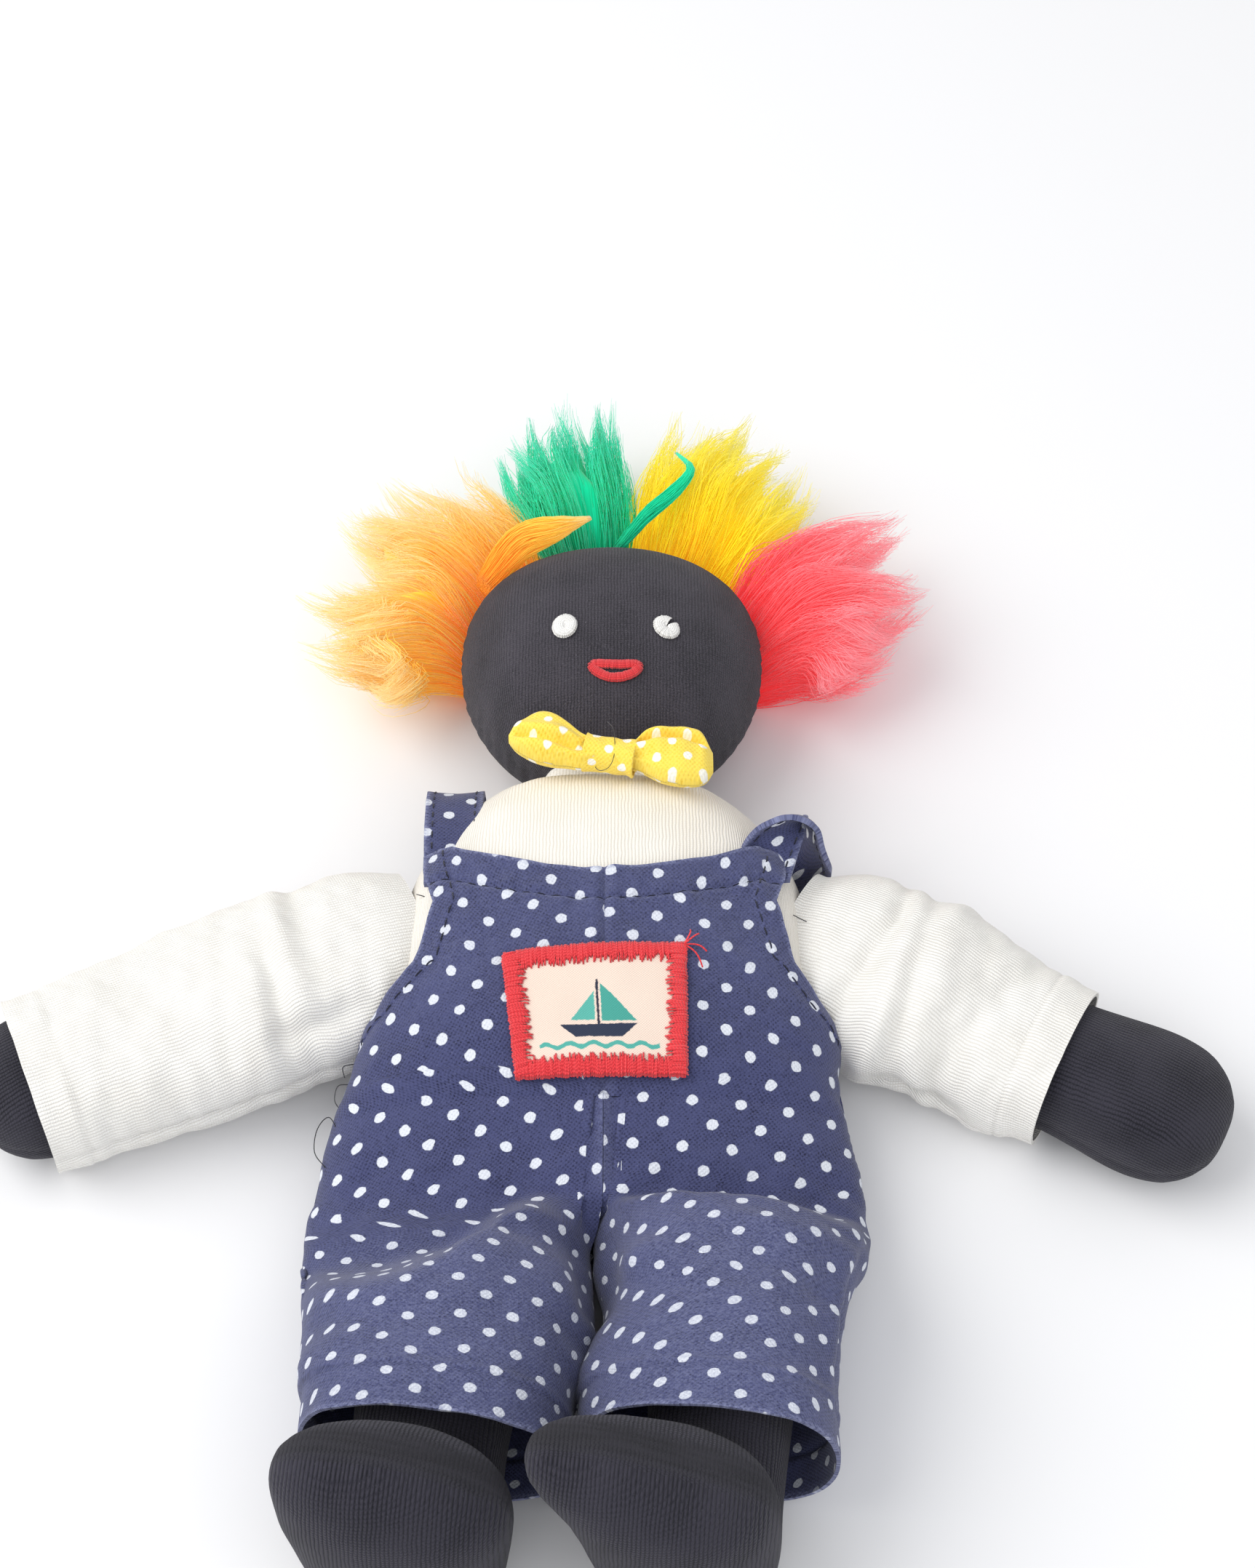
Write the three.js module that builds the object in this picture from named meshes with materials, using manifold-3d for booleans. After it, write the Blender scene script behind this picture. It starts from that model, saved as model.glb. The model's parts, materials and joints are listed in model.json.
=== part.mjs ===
// A small stuffed rag doll in dungarees, lying on its back with its arms spread and its toes up.
// Millimetres. +Z is up, away from the surface it lies on, +Y runs to the head, and +X is the doll's own left.
// The origin is the middle of the doll's upper back, where the body rests on the surface.

import * as THREE from 'three';
import { mergeVertices } from 'three/addons/utils/BufferGeometryUtils.js';
import Module from 'manifold-3d';

const wasm = await Module();
wasm.setup();

// Cloth, stitching and how the doll lies
const jersey_thickness = 0.8;
const cotton_thickness = 1;
const seat_gap = 0.3;
const socket_gap = 0.65;
const garment_ease = 0.6;
const flat_depth = 0.5;
const floor_height = 0;
const cut_overrun = 20;
const weld_tolerance = 1e-5;

// Body
const torso_length = 82;
const torso_below_origin = 48;
const torso_half_width = 42;
const torso_half_depth = 18.5;
const torso_sides = 20;
const torso_roundness = 2.3;

// Head and neck
const head_length = 59;
const head_half_width = 31.5;
const head_half_depth = 19.5;
const head_lean = 1;
const head_sides = 20;
const head_roundness = 2.1;
const chin_gap = 4.5;
const neck_radius = 9;
const neck_height = 18;

// Face
const eye_spacing = 20.6;
const eye_rise_from_chin = 26;
const eye_outer_radius = 2.3;
const eye_inner_radius = 0.7;
const mouth_half_width = 5.4;
const mouth_half_height = 2.2;
const mouth_thread_width = 1.3;
const mouth_rise_from_chin = 13.5;
const stitch_height = 0.7;

// Hair
const hair_orange_length = 39;
const hair_green_length = 51;
const hair_yellow_length = 47;
const hair_red_length = 44;

// Arms and sleeves
const shoulder_x = 42;
const shoulder_y = 0;
const shoulder_height = 16;
const shoulder_gather_radius = 7.5;
const arm_length = 83;
const arm_half_width = 15;
const arm_half_depth = 11.5;
const arm_sides = 12;
const arm_roundness = 2.1;
const arm_droop = { left: 28, right: 23.5 };
const arm_settled_share = 0.5;
const arm_sole_rise = 4;
const sleeve_start = 25;
const sleeve_reach = { left: 51, right: 72 };
const sleeve_half_width = 20;
const sleeve_half_depth = 14.2;
const sleeve_sides = 14;
const sleeve_roundness = 2.2;
const sleeve_fold_count = 3;
const sleeve_fold_share = 0.045;

// Legs and feet
const hip_x = 24.5;
const hip_y = -52;
const hip_height = 14;
const hip_gather_radius = 7.5;
const leg_length = 66;
const leg_half_width = 18.5;
const leg_half_depth = 14;
const leg_sides = 12;
const leg_roundness = 2.1;
const toe_height = 48;
const toe_lean = { left: 10, right: 3 };
const leg_drift = 5.7;

// Dungarees
const bib_top = 12;
const bib_sag = 8;
const back_top = -12;
const side_seam_top = -24;
const upper_hem = -40;
const fold_end = -62.5;
const hip_half_width = 51;
const centre_seam_gap = 0.3;
const trouser_start = 9;
const trouser_reach = 52.5;
const trouser_half_width = 23.6;
const trouser_half_depth = 19.8;
const trouser_sides = 16;
const trouser_roundness = 2.3;
const strap_x = 29;
const strap_width = 11.3;

// Name patch on the bib
const label_width = 30.5;
const label_height = 27;
const label_centre_y = -26.2;
const label_thickness = 0.5;
const label_border_width = 3.3;
const label_border_height = 0.6;

// Bow
const bow_half_length = 19.5;
const bow_loop_half_height = 6.6;
const bow_loop_half_depth = 4.4;
const bow_band_half_width = 4.5;
const bow_band_half_height = 3.6;
const bow_band_half_depth = 2.7;
const bow_band_thickness = 1;
const bow_tilt = 16;
const bow_sink = 1.5;
const bow_drop = 1;
const bow_sides = 12;
const bow_roundness = 2;
const bow_pleat_sharpness = 8;

const jersey_dark = { color: 0x2b2b33, roughness: 0.95, metalness: 0 };
const jersey_cream = { color: 0xf0ead8, roughness: 0.95, metalness: 0 };
const stuffing_white = { color: 0xf7f6f0, roughness: 1, metalness: 0 };
const cotton_navy = { color: 0x363a68, roughness: 0.9, metalness: 0 };
const cotton_yellow = { color: 0xf8d824, roughness: 0.9, metalness: 0 };
const label_cream = { color: 0xf2e2cc, roughness: 0.9, metalness: 0 };
const thread_red = { color: 0xd0202c, roughness: 0.7, metalness: 0 };
const thread_white = { color: 0xe9e6dc, roughness: 0.7, metalness: 0 };
const wool_orange = { color: 0xff9a3c, roughness: 1, metalness: 0 };
const wool_green = { color: 0x10a878, roughness: 1, metalness: 0 };
const wool_yellow = { color: 0xf6c818, roughness: 1, metalness: 0 };
const wool_red = { color: 0xf24858, roughness: 1, metalness: 0 };

const doll = new THREE.Group();

// Values worked out from the driving dimensions
const torso_bottom = -torso_below_origin;
const torso_top = torso_length - torso_below_origin;
const chin = torso_top + chin_gap;
const bow_centre_y = torso_top - bow_drop;
const head_mid = head_half_depth - flat_depth;
const neck_y = (torso_top + chin) / 2;
const cloth_rise = cotton_thickness + seat_gap;

// Shapes: small functions that the sub-parts share

const radians = THREE.MathUtils.degToRad;
const mix = THREE.MathUtils.lerp;

// The value at t of a table of rows that start with t.
function readTable(table, t, column = 1) {
  if (t <= table[0][0]) {
    return table[0][column];
  }
  for (let i = 1; i < table.length; i += 1) {
    const [before, after] = [table[i - 1], table[i]];
    if (t <= after[0]) {
      return mix(before[column], after[column], (t - before[0]) / (after[0] - before[0]));
    }
  }
  return table[table.length - 1][column];
}

// The table with rows added at more places, read off it.
function withRows(table, places) {
  const rowAt = (place) => table[0].map((_, column) => (column ? readTable(table, place, column) : place));
  const added = places.map(rowAt);
  return [...table, ...added].sort((a, b) => a[0] - b[0]);
}

// A point of a rounded cross-section, as its sideways and upward offsets.
function roundPoint(half_width, half_depth, angle, roundness) {
  const bend = (value) => Math.sign(value) * Math.abs(value) ** (2 / roundness);
  return [half_width * bend(Math.cos(angle)), half_depth * bend(Math.sin(angle))];
}

// The height of a rounded cross-section above its middle, at a sideways offset.
function roundHeight(half_width, half_depth, offset, roundness) {
  const share = Math.min(Math.abs(offset / half_width), 1);
  return half_depth * (1 - share ** roundness) ** (1 / roundness);
}

function addTriangles(points, triangles) {
  const geometry = new THREE.BufferGeometry();
  geometry.setAttribute('position', new THREE.Float32BufferAttribute(points.flat(), 3));
  geometry.setIndex(triangles);
  return geometry;
}

// The side of a loft between rings of equal count, and fans that close its ends.
function sideTriangles(ring_count, sides, first, flip) {
  const triangles = [];
  for (let i = 0; i + 1 < ring_count; i += 1) {
    for (let k = 0; k < sides; k += 1) {
      const a = first + i * sides + k;
      const b = first + i * sides + ((k + 1) % sides);
      const face = [a, a + sides, b, b, a + sides, b + sides];
      triangles.push(...(flip ? face.reverse() : face));
    }
  }
  return triangles;
}

function capTriangles(first, sides, centre, flip) {
  const triangles = [];
  for (let k = 0; k < sides; k += 1) {
    const face = [first + k, first + ((k + 1) % sides), centre];
    triangles.push(...(flip ? face.reverse() : face));
  }
  return triangles;
}

function ringCentre(ring) {
  return [0, 1, 2].map((axis) => ring.reduce((sum, point) => sum + point[axis], 0) / ring.length);
}

// A closed solid through rings of points. Each ring turns the same way about the loft's direction.
function loft(rings) {
  const sides = rings[0].length;
  const points = rings.flat();
  const last = (rings.length - 1) * sides;
  points.push(ringCentre(rings[0]), ringCentre(rings.at(-1)));
  const triangles = [
    ...sideTriangles(rings.length, sides, 0, false),
    ...capTriangles(0, sides, points.length - 2, false),
    ...capTriangles(last, sides, points.length - 1, true),
  ];
  return facedOut(addTriangles(points, triangles));
}

// A wall between an outer and an inner loft, open at the first ring, and at the last where open_end says so.
function wall(outer, inner, open_end) {
  const sides = outer[0].length;
  const points = [...outer.flat(), ...inner.flat()];
  const inside = outer.length * sides;
  const triangles = [
    ...sideTriangles(outer.length, sides, 0, false),
    ...sideTriangles(inner.length, sides, inside, true),
  ];
  const rims = [[0, inside, false]];
  if (open_end) {
    rims.push([inside - sides, points.length - sides, true]);
  }
  for (const [a, b, flip] of rims) {
    for (let k = 0; k < sides; k += 1) {
      const next = (k + 1) % sides;
      const face = [a + k, a + next, b + k, b + k, a + next, b + next];
      triangles.push(...(flip ? face.reverse() : face));
    }
  }
  if (!open_end) {
    points.push(ringCentre(outer.at(-1)), ringCentre(inner.at(-1)));
    triangles.push(...capTriangles(inside - sides, sides, points.length - 2, true));
    triangles.push(...capTriangles(points.length - 2 - sides, sides, points.length - 1, false));
  }
  return facedOut(addTriangles(points, triangles));
}

// A sheet with two faces, each a grid of points of the same size, joined along its four edges.
function sheet(top, bottom) {
  const [rows, columns] = [top.length, top[0].length];
  const points = [...top.flat(), ...bottom.flat()];
  const below = rows * columns;
  const triangles = [];
  const quad = (a, b, c, d) => triangles.push(a, b, c, c, b, d);
  for (let i = 0; i + 1 < rows; i += 1) {
    for (let k = 0; k + 1 < columns; k += 1) {
      const a = i * columns + k;
      quad(a, a + columns, a + 1, a + columns + 1);
      quad(below + a, below + a + 1, below + a + columns, below + a + columns + 1);
    }
  }
  for (let k = 0; k + 1 < columns; k += 1) {
    const end = (rows - 1) * columns + k;
    quad(k, k + 1, below + k, below + k + 1);
    quad(end, below + end, end + 1, below + end + 1);
  }
  for (let i = 0; i + 1 < rows; i += 1) {
    const a = i * columns;
    const end = a + columns - 1;
    quad(a, below + a, a + columns, below + a + columns);
    quad(end, end + columns, below + end, below + end + columns);
  }
  return facedOut(addTriangles(points, triangles));
}

// A closed band with a top and a bottom face between an outer and an inner outline, such as a stitched ring.
function band(outer_top, inner_top, outer_bottom, inner_bottom) {
  const count = outer_top.length;
  const loops = [outer_top, inner_top, inner_bottom, outer_bottom];
  const triangles = [];
  for (let j = 0; j < loops.length; j += 1) {
    const [here, there] = [j * count, ((j + 1) % loops.length) * count];
    for (let k = 0; k < count; k += 1) {
      const next = (k + 1) % count;
      triangles.push(here + k, here + next, there + k, there + k, here + next, there + next);
    }
  }
  return facedOut(addTriangles(loops.flat(), triangles));
}

function volumeOf(geometry) {
  const [position, index] = [geometry.attributes.position, geometry.index];
  const corner = [new THREE.Vector3(), new THREE.Vector3(), new THREE.Vector3()];
  let sum = 0;
  for (let i = 0; i < index.count; i += 3) {
    corner.forEach((vector, k) => vector.fromBufferAttribute(position, index.getX(i + k)));
    sum += corner[0].dot(corner[1].cross(corner[2])) / 6;
  }
  return sum;
}

// Turns every triangle over where the solid would be inside out.
function facedOut(geometry) {
  if (volumeOf(geometry) < 0) {
    geometry.setIndex(Array.from(geometry.index.array).reverse());
  }
  return geometry;
}

function toSolid(geometry) {
  const bare = new THREE.BufferGeometry();
  bare.setAttribute('position', geometry.attributes.position.clone());
  bare.setIndex(geometry.index ? geometry.index.clone() : null);
  const merged = mergeVertices(bare, weld_tolerance);
  return new wasm.Manifold(new wasm.Mesh({
    numProp: 3,
    vertProperties: new Float32Array(merged.attributes.position.array),
    triVerts: new Uint32Array(merged.index.array),
  }));
}

function fromSolid(solid) {
  const mesh = solid.getMesh();
  const geometry = new THREE.BufferGeometry();
  geometry.setAttribute('position', new THREE.BufferAttribute(new Float32Array(mesh.vertProperties), 3));
  geometry.setIndex(Array.from(mesh.triVerts));
  return geometry;
}

// What is left of a piece after its neighbours are cut from it.
function cutBy(geometry, ...neighbours) {
  return fromSolid(neighbours.reduce((solid, other) => solid.subtract(toSolid(other)), toSolid(geometry)));
}

function addPiece(parent, name, geometry, finish) {
  const flat = geometry.index ? geometry : mergeVertices(geometry);
  flat.computeVertexNormals();
  const mesh = new THREE.Mesh(flat, new THREE.MeshStandardMaterial(finish));
  mesh.name = name;
  parent.add(mesh);
  return mesh;
}

// Rings of a stuffed form. Each row of shares is: along, half width, half depth, and where given, the ring's
// height above the first one, its slope in degrees and its lean to the side. inset draws the skin in.
function stuffedRings(form, inset, sides = form.sides) {
  const least_share = 0.25;
  const rows = form.shares;
  return rows.map((row, index) => {
    const [along, wide, deep, rise = 0, slope = 0, lean = 0] = row;
    const tip = index === rows.length - 1 ? inset : 0;
    const half_width = Math.max(form.half_width * wide - inset, form.half_width * wide * least_share);
    const half_depth = Math.max(form.half_depth * deep - inset, form.half_depth * deep * least_share);
    const tilt = radians(slope);
    const ring = [];
    for (let k = 0; k < sides; k += 1) {
      const angle = ((k + 0.5) / sides) * 2 * Math.PI;
      const [across, up] = roundPoint(half_width, half_depth, angle, form.roundness);
      const x = form.length * along - tip * Math.cos(tilt) - up * Math.sin(tilt);
      const z = form.mid(along) + form.rise * rise - tip * Math.sin(tilt) + up * Math.cos(tilt);
      ring.push([x, across + form.lean * lean, Math.max(z, form.floor(along) + inset)]);
    }
    return ring;
  });
}

// The jersey cover and the stuffing of a body part, along +X from the group's origin.
// A stuffing with fewer sides than its cover is drawn in by what the cover's flat facets take off the round.
function stuffedGeometries(form) {
  const cover = wall(stuffedRings(form, 0), stuffedRings(form, jersey_thickness), false);
  const filling_sides = form.filling_sides ?? form.sides;
  const facet_loss = filling_sides < form.sides ? form.half_width * (1 - Math.cos(Math.PI / form.sides)) : 0;
  const filling = loft(stuffedRings(form, jersey_thickness + seat_gap + facet_loss, filling_sides));
  return { cover, filling };
}

function ballAt(radius, x, y, z, rows = 8, sides = 12) {
  return mergeVertices(stripped(new THREE.SphereGeometry(radius, sides, rows))).translate(x, y, z);
}

function stripped(geometry) {
  geometry.deleteAttribute('normal');
  geometry.deleteAttribute('uv');
  return geometry;
}

function turned(geometry, degrees, x = 0, y = 0) {
  return geometry.clone().rotateZ(radians(degrees)).translate(x, y, 0);
}

// Body: a stuffed bag of cream jersey, full at the chest, thin at the seat and rounded at the neck.
// Each row is: along from the seat, half width, half depth and the height of the ring's middle.

const torso_shares = [
  [0, 0.7, 0.3, 0.65], [0.045, 0.86, 0.6, 0.67], [0.14, 0.955, 0.77, 0.775], [0.3, 1, 0.89, 0.863],
  [0.45, 0.985, 0.955, 0.93], [0.54, 0.97, 0.98, 0.955], [0.7, 0.935, 1, 0.973], [0.8, 0.86, 0.965, 0.973],
  [0.88, 0.745, 0.9, 0.973], [0.95, 0.54, 0.78, 0.973], [0.99, 0.32, 0.6, 0.973], [1, 0.2, 0.42, 0.973],
];
const torso_form = {
  shares: [...torso_shares].reverse().map(([along, ...rest]) => [1 - along, ...rest]),
  length: torso_length,
  half_width: torso_half_width,
  half_depth: torso_half_depth,
  sides: torso_sides,
  filling_sides: torso_sides / 2,
  roundness: torso_roundness,
  rise: torso_half_depth,
  lean: 0,
  mid: () => floor_height,
  floor: (along) => {
    const worn = torso_top - along * torso_length < back_top + cotton_thickness;
    return worn ? cloth_rise : floor_height;
  },
};
const torso_turn = -90;
const torsoInPlace = (geometry) => turned(geometry, torso_turn, 0, torso_top);
const torsoShare = (y, column) => readTable(torso_shares, (y - torso_bottom) / torso_length, column);
const torsoWidth = (y) => torso_half_width * torsoShare(y, 1);
const torsoDepth = (y) => torso_half_depth * torsoShare(y, 2);
const torsoMiddle = (y) => torso_half_depth * torsoShare(y, 3);

const neckSocket = () => ballAt(neck_radius + socket_gap, 0, neck_y, neck_height);
const limbSides = [['left', 1], ['right', -1]];
const shoulderSocket = (sign) => ballAt(
  shoulder_gather_radius + socket_gap, sign * shoulder_x, shoulder_y, shoulder_height,
);
const hipSocket = (sign) => ballAt(hip_gather_radius + socket_gap, sign * hip_x, hip_y, hip_height);

function makeTorso() {
  const sockets = [neckSocket(), ...limbSides.flatMap(([, sign]) => [shoulderSocket(sign), hipSocket(sign)])];
  const { cover, filling } = stuffedGeometries(torso_form);
  addPiece(doll, 'torso_cover', cutBy(torsoInPlace(cover), ...sockets), jersey_cream);
  addPiece(doll, 'torso_stuffing', cutBy(torsoInPlace(filling), ...sockets), stuffing_white);
}

// Head: two panels of dark jersey that meet at a seam round the edge, wide at the cheeks, narrow at the chin

const head_shares = [
  [0, 0.36, 0.32], [0.03, 0.56, 0.5], [0.12, 0.76, 0.74], [0.26, 0.91, 0.92], [0.42, 0.99, 1], [0.57, 1, 1],
  [0.72, 0.94, 0.94], [0.84, 0.81, 0.8], [0.93, 0.6, 0.58], [0.98, 0.36, 0.34], [1, 0.2, 0.18],
];
const head_form = {
  shares: head_shares,
  length: head_length,
  half_width: head_half_width,
  half_depth: head_half_depth,
  sides: head_sides,
  filling_sides: head_sides / 2,
  roundness: head_roundness,
  rise: 0,
  lean: 0,
  mid: () => head_mid,
  floor: () => floor_height,
};
const head_turn = 90;

function headHeight(x, y) {
  const along = (y - chin) / head_length;
  const half_width = head_half_width * readTable(head_shares, along, 1);
  const half_depth = head_half_depth * readTable(head_shares, along, 2);
  return head_mid + roundHeight(half_width, half_depth, x - head_lean, head_roundness);
}

function makeHead() {
  const { cover, filling } = stuffedGeometries(head_form);
  for (const [name, geometry, finish] of [
    ['head_cover', cover, jersey_dark],
    ['head_stuffing', filling, stuffing_white],
  ]) {
    addPiece(doll, name, cutBy(turned(geometry, head_turn, head_lean, chin), neckSocket()), finish);
  }
  addPiece(doll, 'neck', ballAt(neck_radius, 0, neck_y, neck_height), jersey_cream);
}

// A stitched ring laid on a surface: outline(k, grow) gives its middle line, and heightAt the surface under it
function stitchedRing(steps, outline, width, heightAt) {
  const loops = [width / 2, -width / 2].map((grow) => {
    const loop = [];
    for (let k = 0; k < steps; k += 1) {
      loop.push(outline((k / steps) * 2 * Math.PI, grow));
    }
    return loop;
  });
  const lifted = (loop, lift) => loop.map(([x, y]) => [x, y, heightAt(x, y) + lift]);
  const [outer, inner] = loops;
  return band(
    lifted(outer, seat_gap + stitch_height), lifted(inner, seat_gap + stitch_height),
    lifted(outer, seat_gap), lifted(inner, seat_gap),
  );
}

function makeFace() {
  const eye_y = chin + eye_rise_from_chin;
  const eye_width = eye_outer_radius - eye_inner_radius;
  const eye_middle = (eye_outer_radius + eye_inner_radius) / 2;
  for (const [side, sign] of limbSides) {
    const eye_x = head_lean + sign * eye_spacing / 2;
    const outline = (angle, grow) => [
      eye_x + (eye_middle + grow) * Math.cos(angle),
      eye_y + (eye_middle + grow) * Math.sin(angle),
    ];
    addPiece(doll, `eye_${side}`, stitchedRing(14, outline, eye_width, headHeight), thread_white);
  }
  const lip_curve_share = 0.18;
  const mouth = (angle, grow) => {
    const across = (mouth_half_width - mouth_thread_width / 2 + grow) * Math.cos(angle);
    const up = (mouth_half_height - mouth_thread_width / 2 + grow) * Math.sin(angle);
    const smile = lip_curve_share * mouth_half_height * (2 * Math.cos(angle) ** 2 - 1);
    return [head_lean + across, chin + mouth_rise_from_chin + up + smile];
  };
  addPiece(doll, 'mouth', stitchedRing(20, mouth, mouth_thread_width, headHeight), thread_red);
}

// Hair: four tufts of combed wool, sewn in along the top seam of the head and spread on the surface

const tuft_half_depth = 13;
const tuft_lift = 1;
const tuft_rise = 12;
const tuft_sides = 28;
const tuft_roundness = 2;
const tuft_gap_degrees = 1.4;
const tuft_shares = [
  [-0.08, 0.8, 0.5], [0.1, 0.95, 0.78], [0.35, 1, 1], [0.62, 0.97, 0.9], [0.84, 0.9, 0.64], [1, 0.82, 0.3],
];

// How far each lock reaches, from one side of its tuft to the other
const orange_lock_shares = [
  [0, 0.85], [0.05, 1], [0.13, 0.86], [0.2, 0.99], [0.3, 0.86], [0.38, 0.9], [0.46, 0.8], [0.54, 0.66],
  [0.67, 0.72], [0.77, 0.56], [0.86, 0.5], [1, 0.26],
];
const green_lock_shares = [
  [0, 0.84], [0.14, 1], [0.28, 0.93], [0.42, 1], [0.55, 0.9], [0.66, 0.9], [0.78, 0.8], [0.9, 0.72], [1, 0.56],
];
const yellow_lock_shares = [
  [0, 0.6], [0.1, 0.76], [0.2, 0.72], [0.38, 0.88], [0.5, 0.8], [0.64, 1], [0.75, 0.84], [0.87, 0.92], [1, 0.74],
];
const red_lock_shares = [
  [0, 0.22], [0.14, 0.42], [0.26, 0.6], [0.36, 0.66], [0.47, 0.82], [0.57, 0.72], [0.67, 0.62], [0.82, 1],
  [0.92, 0.88], [1, 0.64],
];
const tufts = [
  {
    name: 'hair_orange', finish: wool_orange, from: 112, to: 190, length: hair_orange_length,
    lock_shares: orange_lock_shares,
  },
  {
    name: 'hair_green', finish: wool_green, from: 83, to: 112, length: hair_green_length,
    lock_shares: green_lock_shares,
  },
  {
    name: 'hair_yellow', finish: wool_yellow, from: 44, to: 83, length: hair_yellow_length,
    lock_shares: yellow_lock_shares,
  },
  {
    name: 'hair_red', finish: wool_red, from: -11, to: 44, length: hair_red_length,
    lock_shares: red_lock_shares,
  },
];

// The distance from the head's middle to its edge in a direction, in degrees, seen from above.
function headEdge(heading) {
  const [dx, dy] = [Math.cos(radians(heading)), Math.sin(radians(heading))];
  const steps = 400;
  for (let i = steps; i > 0; i -= 1) {
    const reach = (i / steps) * head_length;
    const along = 0.5 + (dy * reach) / head_length;
    const half_width = head_half_width * readTable(head_shares, along);
    if (along >= 0 && along <= 1 && Math.abs(dx * reach) <= half_width) {
      return reach;
    }
  }
  return head_half_width;
}

// A tuft fills a sector round the head. Its edge is split into locks, and it thins and rises outwards.
function makeTuft({ name, finish, from, to, length, lock_shares }) {
  const middle = chin + head_length / 2;
  const half_sector = (to - from) / 2 - tuft_gap_degrees / 2;
  const rings = tuft_shares.map(([along, wide, deep]) => {
    const ring = [];
    for (let k = 0; k < tuft_sides; k += 1) {
      const angle = ((k + 0.5) / tuft_sides) * 2 * Math.PI;
      const [across, up] = roundPoint(1, tuft_half_depth * deep, angle, tuft_roundness);
      const heading = (from + to) / 2 + half_sector * wide * across;
      const lock = readTable(lock_shares, (heading - from) / (to - from));
      const reach = headEdge(heading) + length * along * lock;
      const mid = tuft_half_depth * deep + tuft_lift - flat_depth + tuft_rise * along ** 2;
      ring.push([
        head_lean + reach * Math.cos(radians(heading)),
        middle + reach * Math.sin(radians(heading)),
        Math.max(mid + up, floor_height),
      ]);
    }
    return ring;
  });
  const grown = {
    ...head_form,
    half_width: head_half_width + seat_gap,
    half_depth: head_half_depth + seat_gap,
  };
  const headCut = turned(loft(stuffedRings(grown, 0)), head_turn, head_lean, chin);
  addPiece(doll, name, cutBy(loft(rings), headCut), finish);
}

// Bow: two puffed loops pinched by a band, stitched to the top of the body in front of the chin

function makeBow() {
  const bow = new THREE.Group();
  const loop_shares = [
    [0, 0.42, 0.5], [0.24, 0.44, 0.52], [0.4, 0.74, 0.86], [0.62, 0.95, 1], [0.84, 1, 0.9], [0.96, 0.86, 0.6],
    [1, 0.6, 0.3],
  ];
  const pleat_share = 0.22;
  for (const [side, sign] of limbSides) {
    const rings = loop_shares.map(([along, tall, deep]) => {
      const ring = [];
      for (let k = 0; k < bow_sides; k += 1) {
        const angle = ((k + 0.5) / bow_sides) * 2 * Math.PI;
        const dent = 1 - pleat_share * (1 - along) * Math.sin(angle) ** bow_pleat_sharpness;
        const half_depth = bow_loop_half_depth * deep * dent;
        const [y, z] = roundPoint(bow_loop_half_height * tall, half_depth, angle, bow_roundness);
        ring.push([sign * (seat_gap / 2 + (bow_half_length - seat_gap / 2) * along), y, z]);
      }
      return ring;
    });
    addPiece(bow, `bow_loop_${side}`, loft(rings), cotton_yellow);
  }
  const bandRing = (x, grow) => {
    const ring = [];
    for (let k = 0; k < bow_sides; k += 1) {
      const angle = ((k + 0.5) / bow_sides) * 2 * Math.PI;
      const [half_height, half_depth] = [bow_band_half_height + grow, bow_band_half_depth + grow];
      ring.push([x, ...roundPoint(half_height, half_depth, angle, bow_roundness)]);
    }
    return ring;
  };
  const rim = [-bow_band_half_width, bow_band_half_width];
  const bow_band = wall(rim.map((x) => bandRing(x, bow_band_thickness)), rim.map((x) => bandRing(x, 0)), true);
  addPiece(bow, 'bow_band', bow_band, cotton_yellow);
  const seat_y = bow_centre_y - bow_loop_half_height;
  const seat = torsoMiddle(seat_y) + torsoDepth(seat_y) + seat_gap;
  bow.position.set(0, bow_centre_y, seat + bow_loop_half_depth - bow_sink);
  bow.rotation.z = radians(-bow_tilt);
  doll.add(bow);
}

// Arms: stuffed mittens of dark jersey, in loose sleeves of cream jersey

const arm_shares = [
  [0, 0.3, 0.3], [0.06, 0.42, 0.5], [0.1, 0.56, 0.68], [0.17, 0.76, 0.86], [0.34, 0.84, 0.92],
  [0.62, 0.9, 0.95], [0.8, 1, 1], [0.9, 0.93, 0.92], [0.965, 0.68, 0.66], [1, 0.34, 0.32],
];
const armForm = (reach) => ({
  shares: withRows(arm_shares, [(reach + seat_gap) / arm_length, (reach + arm_sole_rise) / arm_length]),
  length: arm_length,
  half_width: arm_half_width,
  half_depth: arm_half_depth,
  sides: arm_sides,
  roundness: arm_roundness,
  rise: 0,
  lean: 0,
  mid: (along) => {
    const settled = Math.min(along / arm_settled_share, 1);
    return mix(shoulder_height, arm_half_depth + jersey_thickness, settled);
  },
  floor: (along) => {
    const worn = along * arm_length < reach + arm_sole_rise / 2;
    return worn ? jersey_thickness + seat_gap : floor_height;
  },
});

// Rings of a loose tube of cloth round a limb: rows of along, half width, half depth and height of the middle.
function tubeRings(rows, sides, roundness, inset, floor) {
  return rows.map(([along, half_width, half_depth, mid]) => {
    const ring = [];
    for (let k = 0; k < sides; k += 1) {
      const angle = ((k + 0.5) / sides) * 2 * Math.PI;
      const [across, up] = roundPoint(half_width - inset, half_depth - inset, angle, roundness);
      ring.push([along, across, Math.max(mid + up, floor + inset)]);
    }
    return ring;
  });
}

// A row of a sleeve: its middle comes down from the shoulder's height until the sleeve lies on the surface.
function sleeveRow(along, wide, deep) {
  const half_depth = sleeve_half_depth * deep;
  const resting = half_depth - flat_depth;
  const lifted = Math.max(shoulder_height, resting);
  const settled = Math.min(along / (arm_settled_share * arm_length), 1);
  return [along, sleeve_half_width * wide, half_depth, mix(lifted, resting, settled)];
}

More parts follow.
